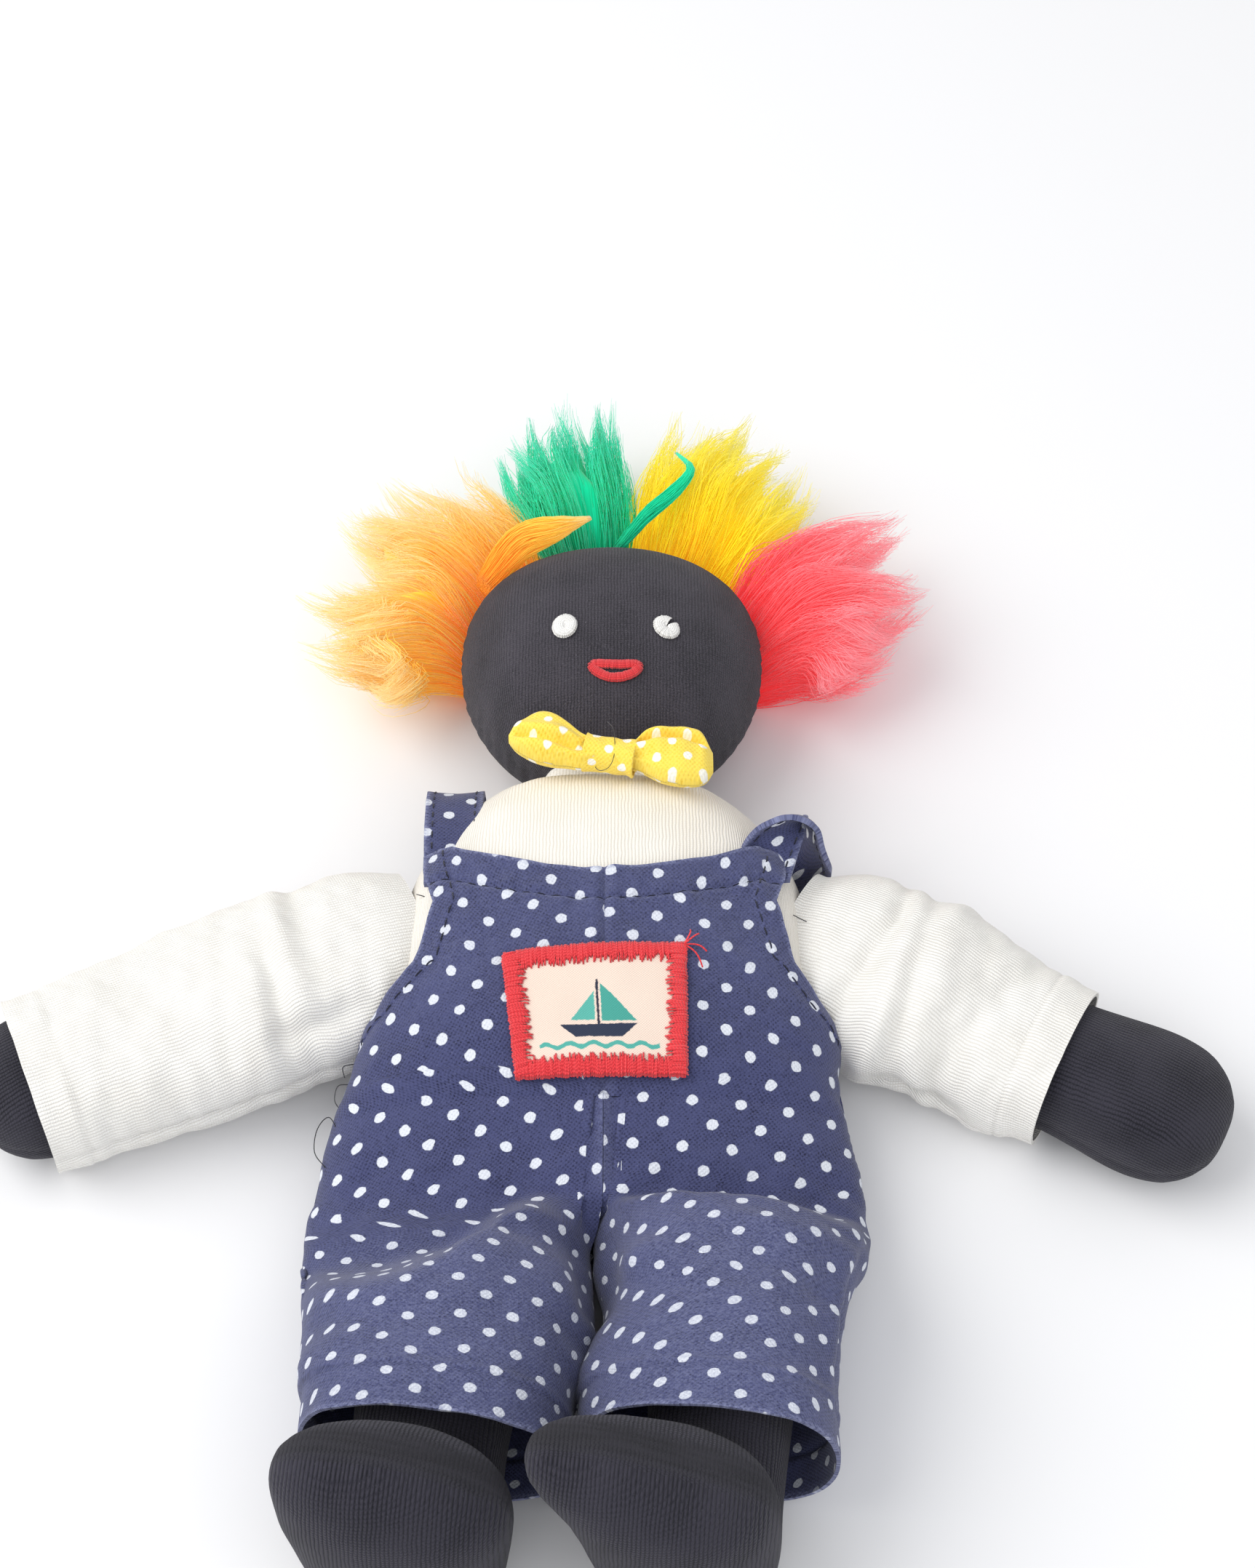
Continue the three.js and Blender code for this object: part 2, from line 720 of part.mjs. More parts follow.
// The right sleeve lies flat. The left one is pushed up the arm, so that it stands in soft folds.
const sleeveFolds = { left: sleeve_fold_share, right: 0 };
const sleeve_shares = [[0, 0.98, 1], [1, 0.86, 0.93]];
const cap_shares = [[0, 0.95, 0.92], [0.5, 1, 0.97]];
const cap_top_share = 0.9;

function sleeveRows(side) {
  const steps = sleeveFolds[side] ? sleeve_fold_count * 4 : 7;
  const rows = [];
  for (let i = 0; i <= steps; i += 1) {
    const t = i / steps;
    const wave = 1 + sleeveFolds[side] * Math.cos(2 * Math.PI * sleeve_fold_count * t);
    const [wide, deep] = [readTable(sleeve_shares, t, 1), readTable(sleeve_shares, t, 2)];
    rows.push(sleeveRow(mix(sleeve_start, sleeve_reach[side], t), wide * wave, deep * wave));
  }
  return rows;
}

// The cap's rows run from behind the shoulder to the sleeve, whose first row sets the width of the last.
function capRows(side) {
  const cap_end = sleeve_start - seat_gap;
  const [, wide, deep] = sleeve_shares[0];
  const wave = 1 + sleeveFolds[side];
  return [
    sleeveRow(-shoulder_gather_radius, cap_top_share, cap_top_share),
    ...cap_shares.map(([along, ...size]) => sleeveRow(cap_end * along, ...size)),
    sleeveRow(cap_end, wide * wave, deep * wave),
  ];
}

function tubeOf(rows, sides, roundness, thickness) {
  return wall(
    tubeRings(rows, sides, roundness, 0, floor_height),
    tubeRings(rows, sides, roundness, thickness, floor_height),
    true,
  );
}

function makeArm(side, sign) {
  const arm = new THREE.Group();
  const heading = sign > 0 ? -arm_droop[side] : 180 + arm_droop[side];
  const shoulder = sign * shoulder_x;
  const socket = ballAt(shoulder_gather_radius + socket_gap, 0, 0, shoulder_height);
  const { cover, filling } = stuffedGeometries(armForm(sleeve_reach[side]));
  addPiece(arm, `arm_cover_${side}`, cutBy(cover, socket), jersey_dark);
  addPiece(arm, `arm_stuffing_${side}`, cutBy(filling, socket), stuffing_white);
  const gather = ballAt(shoulder_gather_radius, 0, 0, shoulder_height);
  addPiece(arm, `shoulder_gather_${side}`, gather, jersey_dark);

  const sleeve = tubeOf(sleeveRows(side), sleeve_sides, sleeve_roundness, jersey_thickness);
  addPiece(arm, `sleeve_${side}`, sleeve, jersey_cream);

  const cap = tubeOf(capRows(side), sleeve_sides, sleeve_roundness, jersey_thickness);
  const grown = {
    ...torso_form,
    half_width: torso_half_width + garment_ease,
    half_depth: torso_half_depth + garment_ease,
    floor: () => -cut_overrun,
  };
  const torsoCut = torsoInPlace(loft(stuffedRings(grown, 0)))
    .translate(-shoulder, -shoulder_y, 0)
    .rotateZ(radians(-heading));
  const wornRings = [upper_hem, side_seam_top, armhole_low, back_top + seat_gap];
  const wornLoft = loft(wornRings.map((y) => overallRing(y, -2 * seat_gap)));
  const wornCut = wornLoft.translate(-shoulder, -shoulder_y, 0).rotateZ(radians(-heading));
  addPiece(arm, `sleeve_cap_${side}`, cutBy(cap, torsoCut, wornCut), jersey_cream);

  arm.position.set(shoulder, shoulder_y, 0);
  arm.rotation.z = radians(heading);
  doll.add(arm);
}

// Legs: stuffed, with the feet turned up, in wide trouser legs that stand open round them

const leg_shares = [
  [0, 0.3, 0.36], [0.065, 0.42, 0.56], [0.12, 0.56, 0.72], [0.21, 0.71, 0.9], [0.5, 0.76, 0.97],
  [0.76, 0.72, 0.92], [0.9, 0.76, 0.95, -0.06, 20, 0.1], [1, 0.88, 1.14, -0.03, 45, 0.3],
  [1.01, 1, 0.92, 0.42, 75, 0.6], [1.015, 0.95, 0.84, 0.66, 88, 0.85], [1.01, 0.7, 0.6, 0.88, 92, 1],
  [1.005, 0.34, 0.3, 1, 92, 1.05],
];
const leg_middle = leg_half_depth + 2 * flat_depth;
const legForm = (side) => ({
  shares: leg_shares,
  length: leg_length,
  half_width: leg_half_width,
  half_depth: leg_half_depth,
  sides: leg_sides,
  roundness: leg_roundness,
  rise: toe_height - leg_middle,
  lean: -toe_lean[side],
  mid: () => leg_middle,
  floor: () => floor_height,
});

const trouser_shares = [
  [0, 0.6, 0.64], [0.12, 0.8, 0.8], [0.25, 0.97, 0.94], [0.42, 1, 0.98], [0.65, 0.97, 0.98], [0.87, 0.92, 0.96],
  [1, 0.9, 0.96],
];

function makeLeg(side, sign) {
  const leg = new THREE.Group();
  const gather_drop_share = 0.6;
  const heading = -90 - leg_drift;
  const socket = ballAt(hip_gather_radius + socket_gap, 0, 0, hip_height);
  const { cover, filling } = stuffedGeometries(legForm(side));
  addPiece(leg, `leg_cover_${side}`, cutBy(cover, socket), jersey_dark);
  addPiece(leg, `leg_stuffing_${side}`, cutBy(filling, socket), stuffing_white);
  addPiece(leg, `hip_gather_${side}`, ballAt(hip_gather_radius, 0, 0, hip_height), jersey_dark);

  const rows = trouser_shares.map(([along, wide, deep]) => {
    const half_depth = trouser_half_depth * deep;
    const drop = (trouser_half_depth - half_depth) * gather_drop_share;
    const middle = trouser_half_depth - flat_depth - drop;
    return [mix(trouser_start, trouser_reach, along), trouser_half_width * wide, half_depth, middle];
  });
  const trouser = tubeOf(rows, trouser_sides, trouser_roundness, cotton_thickness);
  addPiece(leg, `trouser_leg_${side}`, trouser, cotton_navy);
  leg.position.set(sign * hip_x, hip_y, 0);
  leg.rotation.z = radians(heading);
  doll.add(leg);
}

// Dungarees: two halves sewn together down the middle, each with a front and a back that meet at the side

const flare_shares = [[fold_end, 0.94], [upper_hem, 1], [side_seam_top, 0.4], [bib_top, 0]];
const fold_shares = [[0, 1], [0.3, 0.96], [0.5, 0.95], [0.76, 1.06], [1, 1.2]];
const armhole_low = (2 * side_seam_top + back_top) / 3;
const armhole_high = (back_top + bib_top) / 2;
const front_edge_degrees = [
  [fold_end, 0], [side_seam_top, 0], [armhole_low, 18], [back_top, 37], [armhole_high, 43], [bib_top, 33],
];
const back_edge_degrees = [[fold_end, 0], [side_seam_top, 0], [armhole_low, 12], [back_top, 34]];

// The half width, half depth and middle of the dungarees' outer face at a height on the body, and how far the
// front stands out or falls in at the lap.
function overallSize(y) {
  const snug = torsoWidth(y) + garment_ease + cotton_thickness;
  const half_width = mix(snug, hip_half_width, readTable(flare_shares, y));
  const filled_y = Math.max(y, upper_hem);
  const half_depth = torsoDepth(filled_y) + garment_ease + cotton_thickness;
  const middle = torsoMiddle(filled_y);
  const fold_share = readTable(fold_shares, (upper_hem - y) / (upper_hem - fold_end));
  return { half_width, half_depth, middle, fold: (middle + half_depth) * (fold_share - 1) };
}

function overallPoint(y, angle, sign, inset, floor) {
  const { half_width, half_depth, middle, fold } = overallSize(y);
  const [x, up] = roundPoint(half_width - inset, half_depth - inset, angle, torso_roundness);
  const front_share = Math.sqrt(Math.max(Math.sin(angle), 0));
  const z = middle + up + fold * front_share;
  return [sign * Math.max(x, centre_seam_gap / 2), y, Math.max(z, floor + inset)];
}

// The whole outline of the dungarees at a height on the body.
function overallRing(y, inset) {
  const { half_width, half_depth, middle } = overallSize(y);
  return Array.from({ length: torso_sides }, (_, k) => {
    const angle = ((k + 0.5) / torso_sides) * 2 * Math.PI;
    const [x, up] = roundPoint(half_width - inset, half_depth - inset, angle, torso_roundness);
    return [x, y, middle + up];
  });
}

// A panel from the middle seam, at start degrees, round to the edge that a table gives. Its top edge hangs lower
// by top_sag at the middle than at the straps.
function panel(sign, start, edge, low, high, columns, rows, floor, top_sag = 0) {
  const grid = (inset) => {
    const lines = [];
    for (let j = 0; j <= rows; j += 1) {
      const level = mix(low, high, j / rows);
      const line = [];
      for (let i = 0; i <= columns; i += 1) {
        const angle = radians(mix(start, edge(level), i / columns));
        const across = overallSize(level).half_width * Math.cos(angle) ** (2 / torso_roundness);
        const sag = top_sag * Math.max(1 - (across / strap_x) ** 2, 0) * (j / rows);
        line.push(overallPoint(level - sag, angle, sign, inset, floor));
      }
      lines.push(line);
    }
    return lines;
  };
  return sheet(grid(0), grid(cotton_thickness));
}

function makeDungarees() {
  const side_gap_degrees = 0.6;
  const frontEdge = (y) => Math.max(readTable(front_edge_degrees, y, 1), side_gap_degrees);
  const backEdge = (y) => -Math.max(readTable(back_edge_degrees, y, 1), side_gap_degrees);
  for (const [side, sign] of limbSides) {
    const bib = panel(sign, 90, frontEdge, upper_hem + seat_gap, bib_top, 8, 9, floor_height, bib_sag);
    addPiece(doll, `bib_${side}`, bib, cotton_navy);
    const back = panel(sign, -90, backEdge, upper_hem + seat_gap, back_top, 8, 5, floor_height);
    addPiece(doll, `back_${side}`, back, cotton_navy);
    const fold = panel(sign, 90, () => -90, fold_end, upper_hem, 14, 6, seat_gap);
    addPiece(doll, `hip_fold_${side}`, fold, cotton_navy);
    addPiece(doll, `strap_${side}`, makeStrap(sign), cotton_navy);
  }
}

// A strap from the top of the bib, over the shoulder and down the back to the top of the back panel.
function makeStrap(sign) {
  const half = cotton_thickness / 2;
  const bib_half_width = overallSize(bib_top).half_width - half;
  const strap_inner_x = strap_x - strap_width / 4;
  const strap_angle = Math.acos((strap_inner_x / bib_half_width) ** (torso_roundness / 2));
  const bib_height = overallPoint(bib_top, strap_angle, 1, half, floor_height)[2];
  const over = torso_top - bib_top;
  const tall = bib_height - half;
  const route_shares = [
    [0, 1], [0.32, 1.03], [0.62, 0.96], [0.8, 0.78], [0.86, 0.5], [0.8, 0.24], [0.64, 0.08], [0.42, 0],
  ];
  const route = route_shares.map(([along, high]) => [bib_top + seat_gap + over * along, half + tall * high]);
  route.push([back_top + seat_gap, half]);
  const rings = route.map(([y, z], index) => {
    const before = route[Math.max(index - 1, 0)];
    const after = route[Math.min(index + 1, route.length - 1)];
    const run = [after[0] - before[0], after[1] - before[1]];
    const length = Math.hypot(...run);
    const normal = [-run[1] / length * half, run[0] / length * half];
    const near = sign * strap_x - strap_width / 2;
    const far = sign * strap_x + strap_width / 2;
    return [[near, y - normal[0], z - normal[1]], [far, y - normal[0], z - normal[1]],
      [far, y + normal[0], z + normal[1]], [near, y + normal[0], z + normal[1]]];
  });
  return loft(rings);
}

// Patch: a plain cream label with a satin-stitched border, over the middle seam of the bib
function makeLabel() {
  const bibHeight = (x, y) => {
    const { half_width, half_depth, middle } = overallSize(y);
    return middle + roundHeight(half_width, half_depth, x, torso_roundness);
  };
  const plate_lift = seat_gap + label_thickness;
  const [columns, rows] = [8, 6];
  const grid = (lift) => {
    const lines = [];
    for (let j = 0; j <= rows; j += 1) {
      const y = label_centre_y + label_height * (j / rows - 0.5);
      const line = [];
      for (let i = 0; i <= columns; i += 1) {
        const x = label_width * (i / columns - 0.5);
        line.push([x, y, bibHeight(x, y) + lift]);
      }
      lines.push(line);
    }
    return lines;
  };
  addPiece(doll, 'label', sheet(grid(plate_lift), grid(seat_gap)), label_cream);

  const side_steps = 6;
  const outline = (half_width, half_height, lift) => {
    const corners = [[-1, -1], [1, -1], [1, 1], [-1, 1]];
    return corners.flatMap(([cx, cy], index) => {
      const [nx, ny] = corners[(index + 1) % corners.length];
      return Array.from({ length: side_steps }, (_, k) => {
        const t = k / side_steps;
        const [x, y] = [half_width * mix(cx, nx, t), label_centre_y + half_height * mix(cy, ny, t)];
        return [x, y, bibHeight(x, y) + lift];
      });
    });
  };
  const low = plate_lift + seat_gap;
  const high = low + label_border_height;
  const outer = [label_width / 2, label_height / 2];
  const inner = outer.map((half) => half - label_border_width);
  const faces = [high, low].flatMap((lift) => [outline(...outer, lift), outline(...inner, lift)]);
  const border = band(...faces);
  addPiece(doll, 'label_border', border, thread_red);
}

makeTorso();
makeHead();
makeFace();
tufts.forEach(makeTuft);
makeBow();
for (const [side, sign] of limbSides) {
  makeArm(side, sign);
  makeLeg(side, sign);
}
makeDungarees();
makeLabel();

export default doll;
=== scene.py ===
import json
import math

import bpy
import numpy as np
from mathutils import Matrix, Vector
from mathutils.bvhtree import BVHTree

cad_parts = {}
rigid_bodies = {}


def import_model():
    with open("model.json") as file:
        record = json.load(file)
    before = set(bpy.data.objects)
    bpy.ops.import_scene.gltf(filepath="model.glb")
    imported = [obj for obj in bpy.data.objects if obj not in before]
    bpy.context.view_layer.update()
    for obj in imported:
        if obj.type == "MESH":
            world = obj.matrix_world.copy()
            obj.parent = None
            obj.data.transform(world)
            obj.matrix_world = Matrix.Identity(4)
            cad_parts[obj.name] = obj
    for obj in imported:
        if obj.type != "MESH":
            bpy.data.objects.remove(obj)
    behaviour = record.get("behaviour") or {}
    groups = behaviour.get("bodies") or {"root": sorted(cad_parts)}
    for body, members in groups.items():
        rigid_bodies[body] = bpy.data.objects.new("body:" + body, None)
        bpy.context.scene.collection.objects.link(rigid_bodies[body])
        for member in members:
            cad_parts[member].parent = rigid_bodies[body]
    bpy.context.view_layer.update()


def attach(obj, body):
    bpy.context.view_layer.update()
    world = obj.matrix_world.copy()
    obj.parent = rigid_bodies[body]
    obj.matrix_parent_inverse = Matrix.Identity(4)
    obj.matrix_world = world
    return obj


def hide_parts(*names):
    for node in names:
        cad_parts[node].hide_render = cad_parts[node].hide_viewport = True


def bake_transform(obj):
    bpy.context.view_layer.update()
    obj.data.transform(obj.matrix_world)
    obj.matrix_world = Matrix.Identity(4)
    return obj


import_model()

# The doll's sizes, in millimetres, in the frame of the CAD model
mm_per_metre = 1000.0

torso_low_y = -48.0
torso_high_y = 34.0
torso_half_width = 42.0
torso_half_depth = 18.5
body_roundness = 2.3
form_roundness = 2.1
torso_middle = 18.0
cloth_ease = 1.6
cloth_thickness = 0.7
jersey_thickness = 0.8

head_length = 59.0
head_half_width = 31.5
head_half_depth = 19.5
head_middle = 19.0
head_lean = 1.0
chin_y = 38.5
neck_place = (0.0, 36.25, 18.0)
neck_radius = 9.0

shoulder_place = (42.0, 0.0, 16.0)
shoulder_radius = 7.5
arm_droop = {"left": 28.0, "right": 23.5}
arm_length = 83.0
arm_half_width = 15.0
arm_half_depth = 11.5
arm_middle = 12.4
sleeve_half_width = 20.0
sleeve_half_depth = 14.2
sleeve_roundness = 2.2
sleeve_reach = {"left": 51.0, "right": 72.0}
sleeve_start = -7.0
armhole_reach = 8.0
cuff_width = 7.3

hip_place = (24.5, -52.0, 14.0)
hip_radius = 7.5
leg_drift = 5.7
leg_length = 66.0
leg_half_width = 18.5
leg_half_depth = 14.0
leg_middle = 15.0
toe_rise = 33.0
toe_lean = {"left": 10.0, "right": 3.0}

lap_low_y = -62.5
bib_top = 12.0
bib_sag = 8.0
back_top = -12.0
side_seam_top = -24.0
upper_hem = -40.0
hem_width = 7.6
armhole_hem = 4.5
trouser_reach = 52.5
trouser_half_depth = 19.8
trouser_middle = 19.3
strap_x = 29.0
strap_width = 11.3

label_width = 30.5
label_height = 27.6
label_border = 2.3

bow_depth = 4.2
bow_roundness = 2.3
bow_stretch = 1.04
band_half_width = 5.0
band_half_height = 3.2
band_half_depth = 3.3
bow_centre = (0.9, 30.6, 38.5)
bow_tilt = 11.0

dot_pitch = 8.94
dot_radius = 1.07
bow_dot_pitch = 6.0
bow_dot_radius = 0.86
weave_pitch = 0.44
knit_pitch = 0.65

face_offset = 0.9
eye_height = 26.0
eye_spread = 10.3
eye_stitch = 2.2
mouth_height = 15.6
mouth_half_width = 4.7
mouth_half_height = 1.4
mouth_stitch = 1.6

stitch_length = 2.3
stitch_gap = 0.55
stitch_radius = 0.17

# The camera stands on the foot side and looks down at the doll
camera_place = (4.3, -286.1, 434.9)
camera_elevation = 52.0
camera_lens = 60.0
camera_sensor = 36.0
world_strength = 0.66
floor_half_size = 3000.0

sides = (("left", 1.0), ("right", -1.0))


# Numbers

def mix(a, b, t):
    return a + (b - a) * t


def ease(low, high, value):
    t = np.clip((value - low) / (high - low), 0.0, 1.0)
    return t * t * (3.0 - 2.0 * t)


def bump(value, centre, spread):
    return np.exp(-(((value - centre) / spread) ** 2))


def smooth(table, t):
    """The columns of a table of rows that start with t, read along a smooth curve."""
    rows = np.array(table, float)
    x, y = rows[:, 0], rows[:, 1:]
    slope = np.gradient(y, x, axis=0)
    t = np.clip(np.asarray(t, float), x[0], x[-1])
    i = np.clip(np.searchsorted(x, t, side="right") - 1, 0, len(x) - 2)
    span = (x[i + 1] - x[i])[..., None]
    u = (t - x[i])[..., None] / span
    return (
        (2 * u**3 - 3 * u**2 + 1) * y[i]
        + (u**3 - 2 * u**2 + u) * span * slope[i]
        + (3 * u**2 - 2 * u**3) * y[i + 1]
        + (u**3 - u**2) * span * slope[i + 1]
    )


def linear(table, t):
    """A column of a table read along straight lines."""
    rows = np.array(table, float)
    order = np.argsort(rows[:, 0])
    return np.interp(t, rows[order, 0], rows[order, 1])


def waves(u, v, length, seed):
    """Soft random ripples of about one height, whose crests lie about length apart."""
    random = np.random.default_rng(seed)
    total, count = 0.0, 9
    for _ in range(count):
        heading = random.uniform(0.0, 2.0 * math.pi)
        pitch = length * random.uniform(0.7, 1.6)
        phase = random.uniform(0.0, 2.0 * math.pi)
        total = total + np.cos(
            2.0 * math.pi * (u * math.cos(heading) + v * math.sin(heading)) / pitch + phase
        )
    return total / math.sqrt(count)


def rounded(half_width, half_depth, angle, roundness=body_roundness):
    """A point of a rounded cross-section, as its sideways and upward offsets."""
    c, s = np.cos(angle), np.sin(angle)
    power = 2.0 / roundness
    return half_width * np.sign(c) * np.abs(c) ** power, half_depth * np.sign(s) * np.abs(s) ** power


def turned(points, degrees, origin):
    """Points laid along +X from the origin, turned about +Z and put in place."""
    a = math.radians(degrees)
    x, y, z = points[..., 0], points[..., 1], points[..., 2]
    return np.stack(
        [
            origin[0] + x * math.cos(a) - y * math.sin(a),
            origin[1] + x * math.sin(a) + y * math.cos(a),
            z,
        ],
        axis=-1,
    )


def grid_normals(points):
    along = np.gradient(points, axis=0)
    across = np.gradient(points, axis=1)
    normal = np.cross(across, along)
    return normal / np.maximum(np.linalg.norm(normal, axis=-1, keepdims=True), 1e-9)


# Meshes

def grid_faces(rows, columns, wrap=False):
    faces = []
    for i in range(rows - 1):
        for k in range(columns if wrap else columns - 1):
            n = (k + 1) % columns
            faces.append((i * columns + k, i * columns + n, (i + 1) * columns + n, (i + 1) * columns + k))
    return faces


def add_mesh(name, points, faces, material, cloth=None, wear_and_light=None, flat=()):
    """A smooth mesh from points in millimetres. cloth is each point's place on the flat cloth."""
    points = np.asarray(points, float).reshape(-1, 3)
    mesh = bpy.data.meshes.new(name)
    mesh.from_pydata((points / mm_per_metre).tolist(), [], faces)
    mesh.update()
    mesh.shade_smooth()
    for index in flat:
        mesh.polygons[index].use_smooth = False
    obj = bpy.data.objects.new(name, mesh)
    bpy.context.scene.collection.objects.link(obj)
    set_cloth(obj, cloth if cloth is not None else points)
    set_wear_and_light(obj, wear_and_light if wear_and_light is not None else np.zeros(len(points)))
    obj.data.materials.append(material)
    return obj


def set_cloth(obj, values):
    values = np.asarray(values, np.float32).reshape(-1, 3)
    layer = obj.data.attributes.get("cloth") or obj.data.attributes.new("cloth", "FLOAT_VECTOR", "POINT")
    layer.data.foreach_set("vector", values.ravel())


# One amount for each point: the cloth's wear together with painted light, both painted paler
def set_wear_and_light(obj, values):
    layer = obj.data.attributes.get("wear_and_light") or obj.data.attributes.new("wear_and_light", "FLOAT", "POINT")
    layer.data.foreach_set("value", np.asarray(values, np.float32).ravel())


def add_modifier(obj, kind, name, **settings):
    modifier = obj.modifiers.new(name, kind)
    for key, value in settings.items():
        setattr(modifier, key, value)
    return modifier


def baked(obj):
    """Replaces the object's mesh with what its modifiers make of it."""
    graph = bpy.context.evaluated_depsgraph_get()
    graph.update()
    mesh = bpy.data.meshes.new_from_object(obj.evaluated_get(graph), depsgraph=graph)
    obj.modifiers.clear()
    obj.data = mesh


def mesh_points(obj):
    values = np.zeros(len(obj.data.vertices) * 3)
    obj.data.vertices.foreach_get("co", values)
    return values.reshape(-1, 3) * mm_per_metre


def set_points(obj, points):
    obj.data.vertices.foreach_set("co", (np.asarray(points, float) / mm_per_metre).ravel())
    obj.data.update()


def cloth_piece(name, points, material, cloth, wear_and_light=None, thickness=cloth_thickness, normals=None):
    """A sheet of cloth from a grid of points, with both of its faces and its raw edges."""
    rows, columns = points.shape[:2]
    half = (grid_normals(points) if normals is None else normals) * (thickness / 2.0)
    front, back = (points + half).reshape(-1, 3), (points - half).reshape(-1, 3)
    count = rows * columns
    faces = grid_faces(rows, columns)
    faces += [tuple(index + count for index in reversed(face)) for face in faces]
    top = list(range(columns))
    right = [i * columns + columns - 1 for i in range(rows)]
    bottom = [(rows - 1) * columns + k for k in reversed(range(columns))]
    left = [i * columns for i in reversed(range(rows))]
    first_edge = len(faces)
    for line in (top, right, bottom, left):
        for a, b in zip(line, line[1:]):
            faces.append((b, a, a + count, b + count))
    both = np.concatenate([np.asarray(cloth, float).reshape(-1, 3)] * 2)
    paling = np.zeros((rows, columns)) if wear_and_light is None else wear_and_light + np.zeros((rows, columns))
    paling = np.concatenate([paling.ravel()] * 2)
    obj = add_mesh(
        name, np.concatenate([front, back]), faces, material, both, paling, range(first_edge, len(faces))
    )
    if normals is not None:
        share_normals(obj.data, normals.reshape(-1, 3), first_edge)
    return obj


def share_normals(mesh, normals, first_edge):
    """Shades both faces of a cloth with given normals, so that adjoining pieces look like one cloth."""
    corners = np.zeros(len(mesh.loops) * 3)
    mesh.corner_normals.foreach_get("vector", corners)
    corners = corners.reshape(-1, 3)
    index = np.zeros(len(mesh.loops), int)
    mesh.loops.foreach_get("vertex_index", index)
    both = np.concatenate([normals, -normals])
    faced = mesh.polygons[first_edge].loop_start
    turned_over = np.sign((corners[:faced] * both[index[:faced]]).sum(axis=1, keepdims=True))
    corners[:faced] = both[index[:faced]] * turned_over
    mesh.normals_split_custom_set(corners.tolist())


def flat_places(points, turn, middle=0, down=False, gather=None):
    """Where each grid point lies on the flat cloth, turned to the grain of that piece."""
    rows, columns = points.shape[:2]
    steps = np.linalg.norm(np.diff(points, axis=1), axis=-1)
    u = np.concatenate([np.zeros((rows, 1)), np.cumsum(steps, axis=1)], axis=1)
    u = u - u[:, middle : middle + 1]
    row = np.gradient(points, axis=1)
    row /= np.maximum(np.linalg.norm(row, axis=-1, keepdims=True), 1e-9)
    climbs = np.diff(points, axis=0)
    climbs = climbs - (climbs * row[1:]).sum(axis=-1, keepdims=True) * row[1:]
    climbs = np.linalg.norm(climbs, axis=-1) * (1.0 if gather is None else gather[1:, None])
    v = np.concatenate([np.zeros((1, columns)), np.cumsum(climbs, axis=0)])
    near = max(columns // 16, 1)
    kernel = np.ones(2 * near + 1) / (2 * near + 1)
    padded = np.pad(v, ((0, 0), (near, near)), mode="edge")
    v = np.apply_along_axis(lambda line: np.convolve(line, kernel, "valid"), 1, padded)
    v = -v if down else v
    a = math.radians(turn)
    return np.stack([u * math.cos(a) - v * math.sin(a), u * math.sin(a) + v * math.cos(a), v], axis=-1)


def height_over(pieces):
    """A function that gives the height of the top of some pieces above the surface, in millimetres."""
    graph = bpy.context.evaluated_depsgraph_get()
    trees = [BVHTree.FromObject(bpy.data.objects[name], graph) for name in pieces]

    def height(x, y):
        found = np.zeros(np.shape(x))
        for place in np.ndindex(np.shape(x)):
            start = Vector((float(x[place]), float(y[place]), 100.0)) / mm_per_metre
            hits = [tree.ray_cast(start, Vector((0.0, 0.0, -1.0)))[0] for tree in trees]
            found[place] = max([hit.z * mm_per_metre for hit in hits if hit] or [0.0])
        return found

    return height


def resting_height(pieces, low, high, step=1.0):
    """The height of a small cloth that rests on some pieces and bridges their hollows."""
    x, y = np.arange(low[0], high[0], step), np.arange(low[1], high[1], step)
    grid = height_over(pieces)(*np.meshgrid(x, y, indexing="ij"))
    for gather in (np.max, np.mean, np.mean, np.mean):
        windows = np.lib.stride_tricks.sliding_window_view(np.pad(grid, 1, mode="edge"), (3, 3))
        grid = gather(windows, axis=(2, 3))

    def height(a, b):
        i = np.clip((np.asarray(a) - low[0]) / step, 0.0, len(x) - 1.001)
        k = np.clip((np.asarray(b) - low[1]) / step, 0.0, len(y) - 1.001)
        m, n = i.astype(int), k.astype(int)
        near = mix(grid[m, n], grid[m + 1, n], i - m)
        far = mix(grid[m, n + 1], grid[m + 1, n + 1], i - m)
        return mix(near, far, k - n)

    return height


def strand(points, radius, corners, taper=None):
    """A closed tube along a line of points: its vertices and faces."""
    points = np.asarray(points, float)
    count = len(points)
    tangent = np.gradient(points, axis=0)
    tangent /= np.maximum(np.linalg.norm(tangent, axis=1, keepdims=True), 1e-9)
    up = np.array([0.0, 0.0, 1.0])
    side = np.cross(tangent, up)
    weak = np.linalg.norm(side, axis=1) < 0.15
    side[weak] = np.cross(tangent[weak], [1.0, 0.0, 0.0])
    side /= np.maximum(np.linalg.norm(side, axis=1, keepdims=True), 1e-9)
    lift = np.cross(side, tangent)
    thick = radius * (np.ones(count) if taper is None else np.asarray(taper))
    angle = np.arange(corners) / corners * 2.0 * math.pi
    ring = (
        points[:, None]
        + side[:, None] * (np.cos(angle)[None, :, None] * thick[:, None, None])
        + lift[:, None] * (np.sin(angle)[None, :, None] * thick[:, None, None])
    )
    faces = grid_faces(count, corners, wrap=True)
    faces.append(tuple(range(corners - 1, -1, -1)))
    faces.append(tuple((count - 1) * corners + k for k in range(corners)))
    return ring.reshape(-1, 3), faces


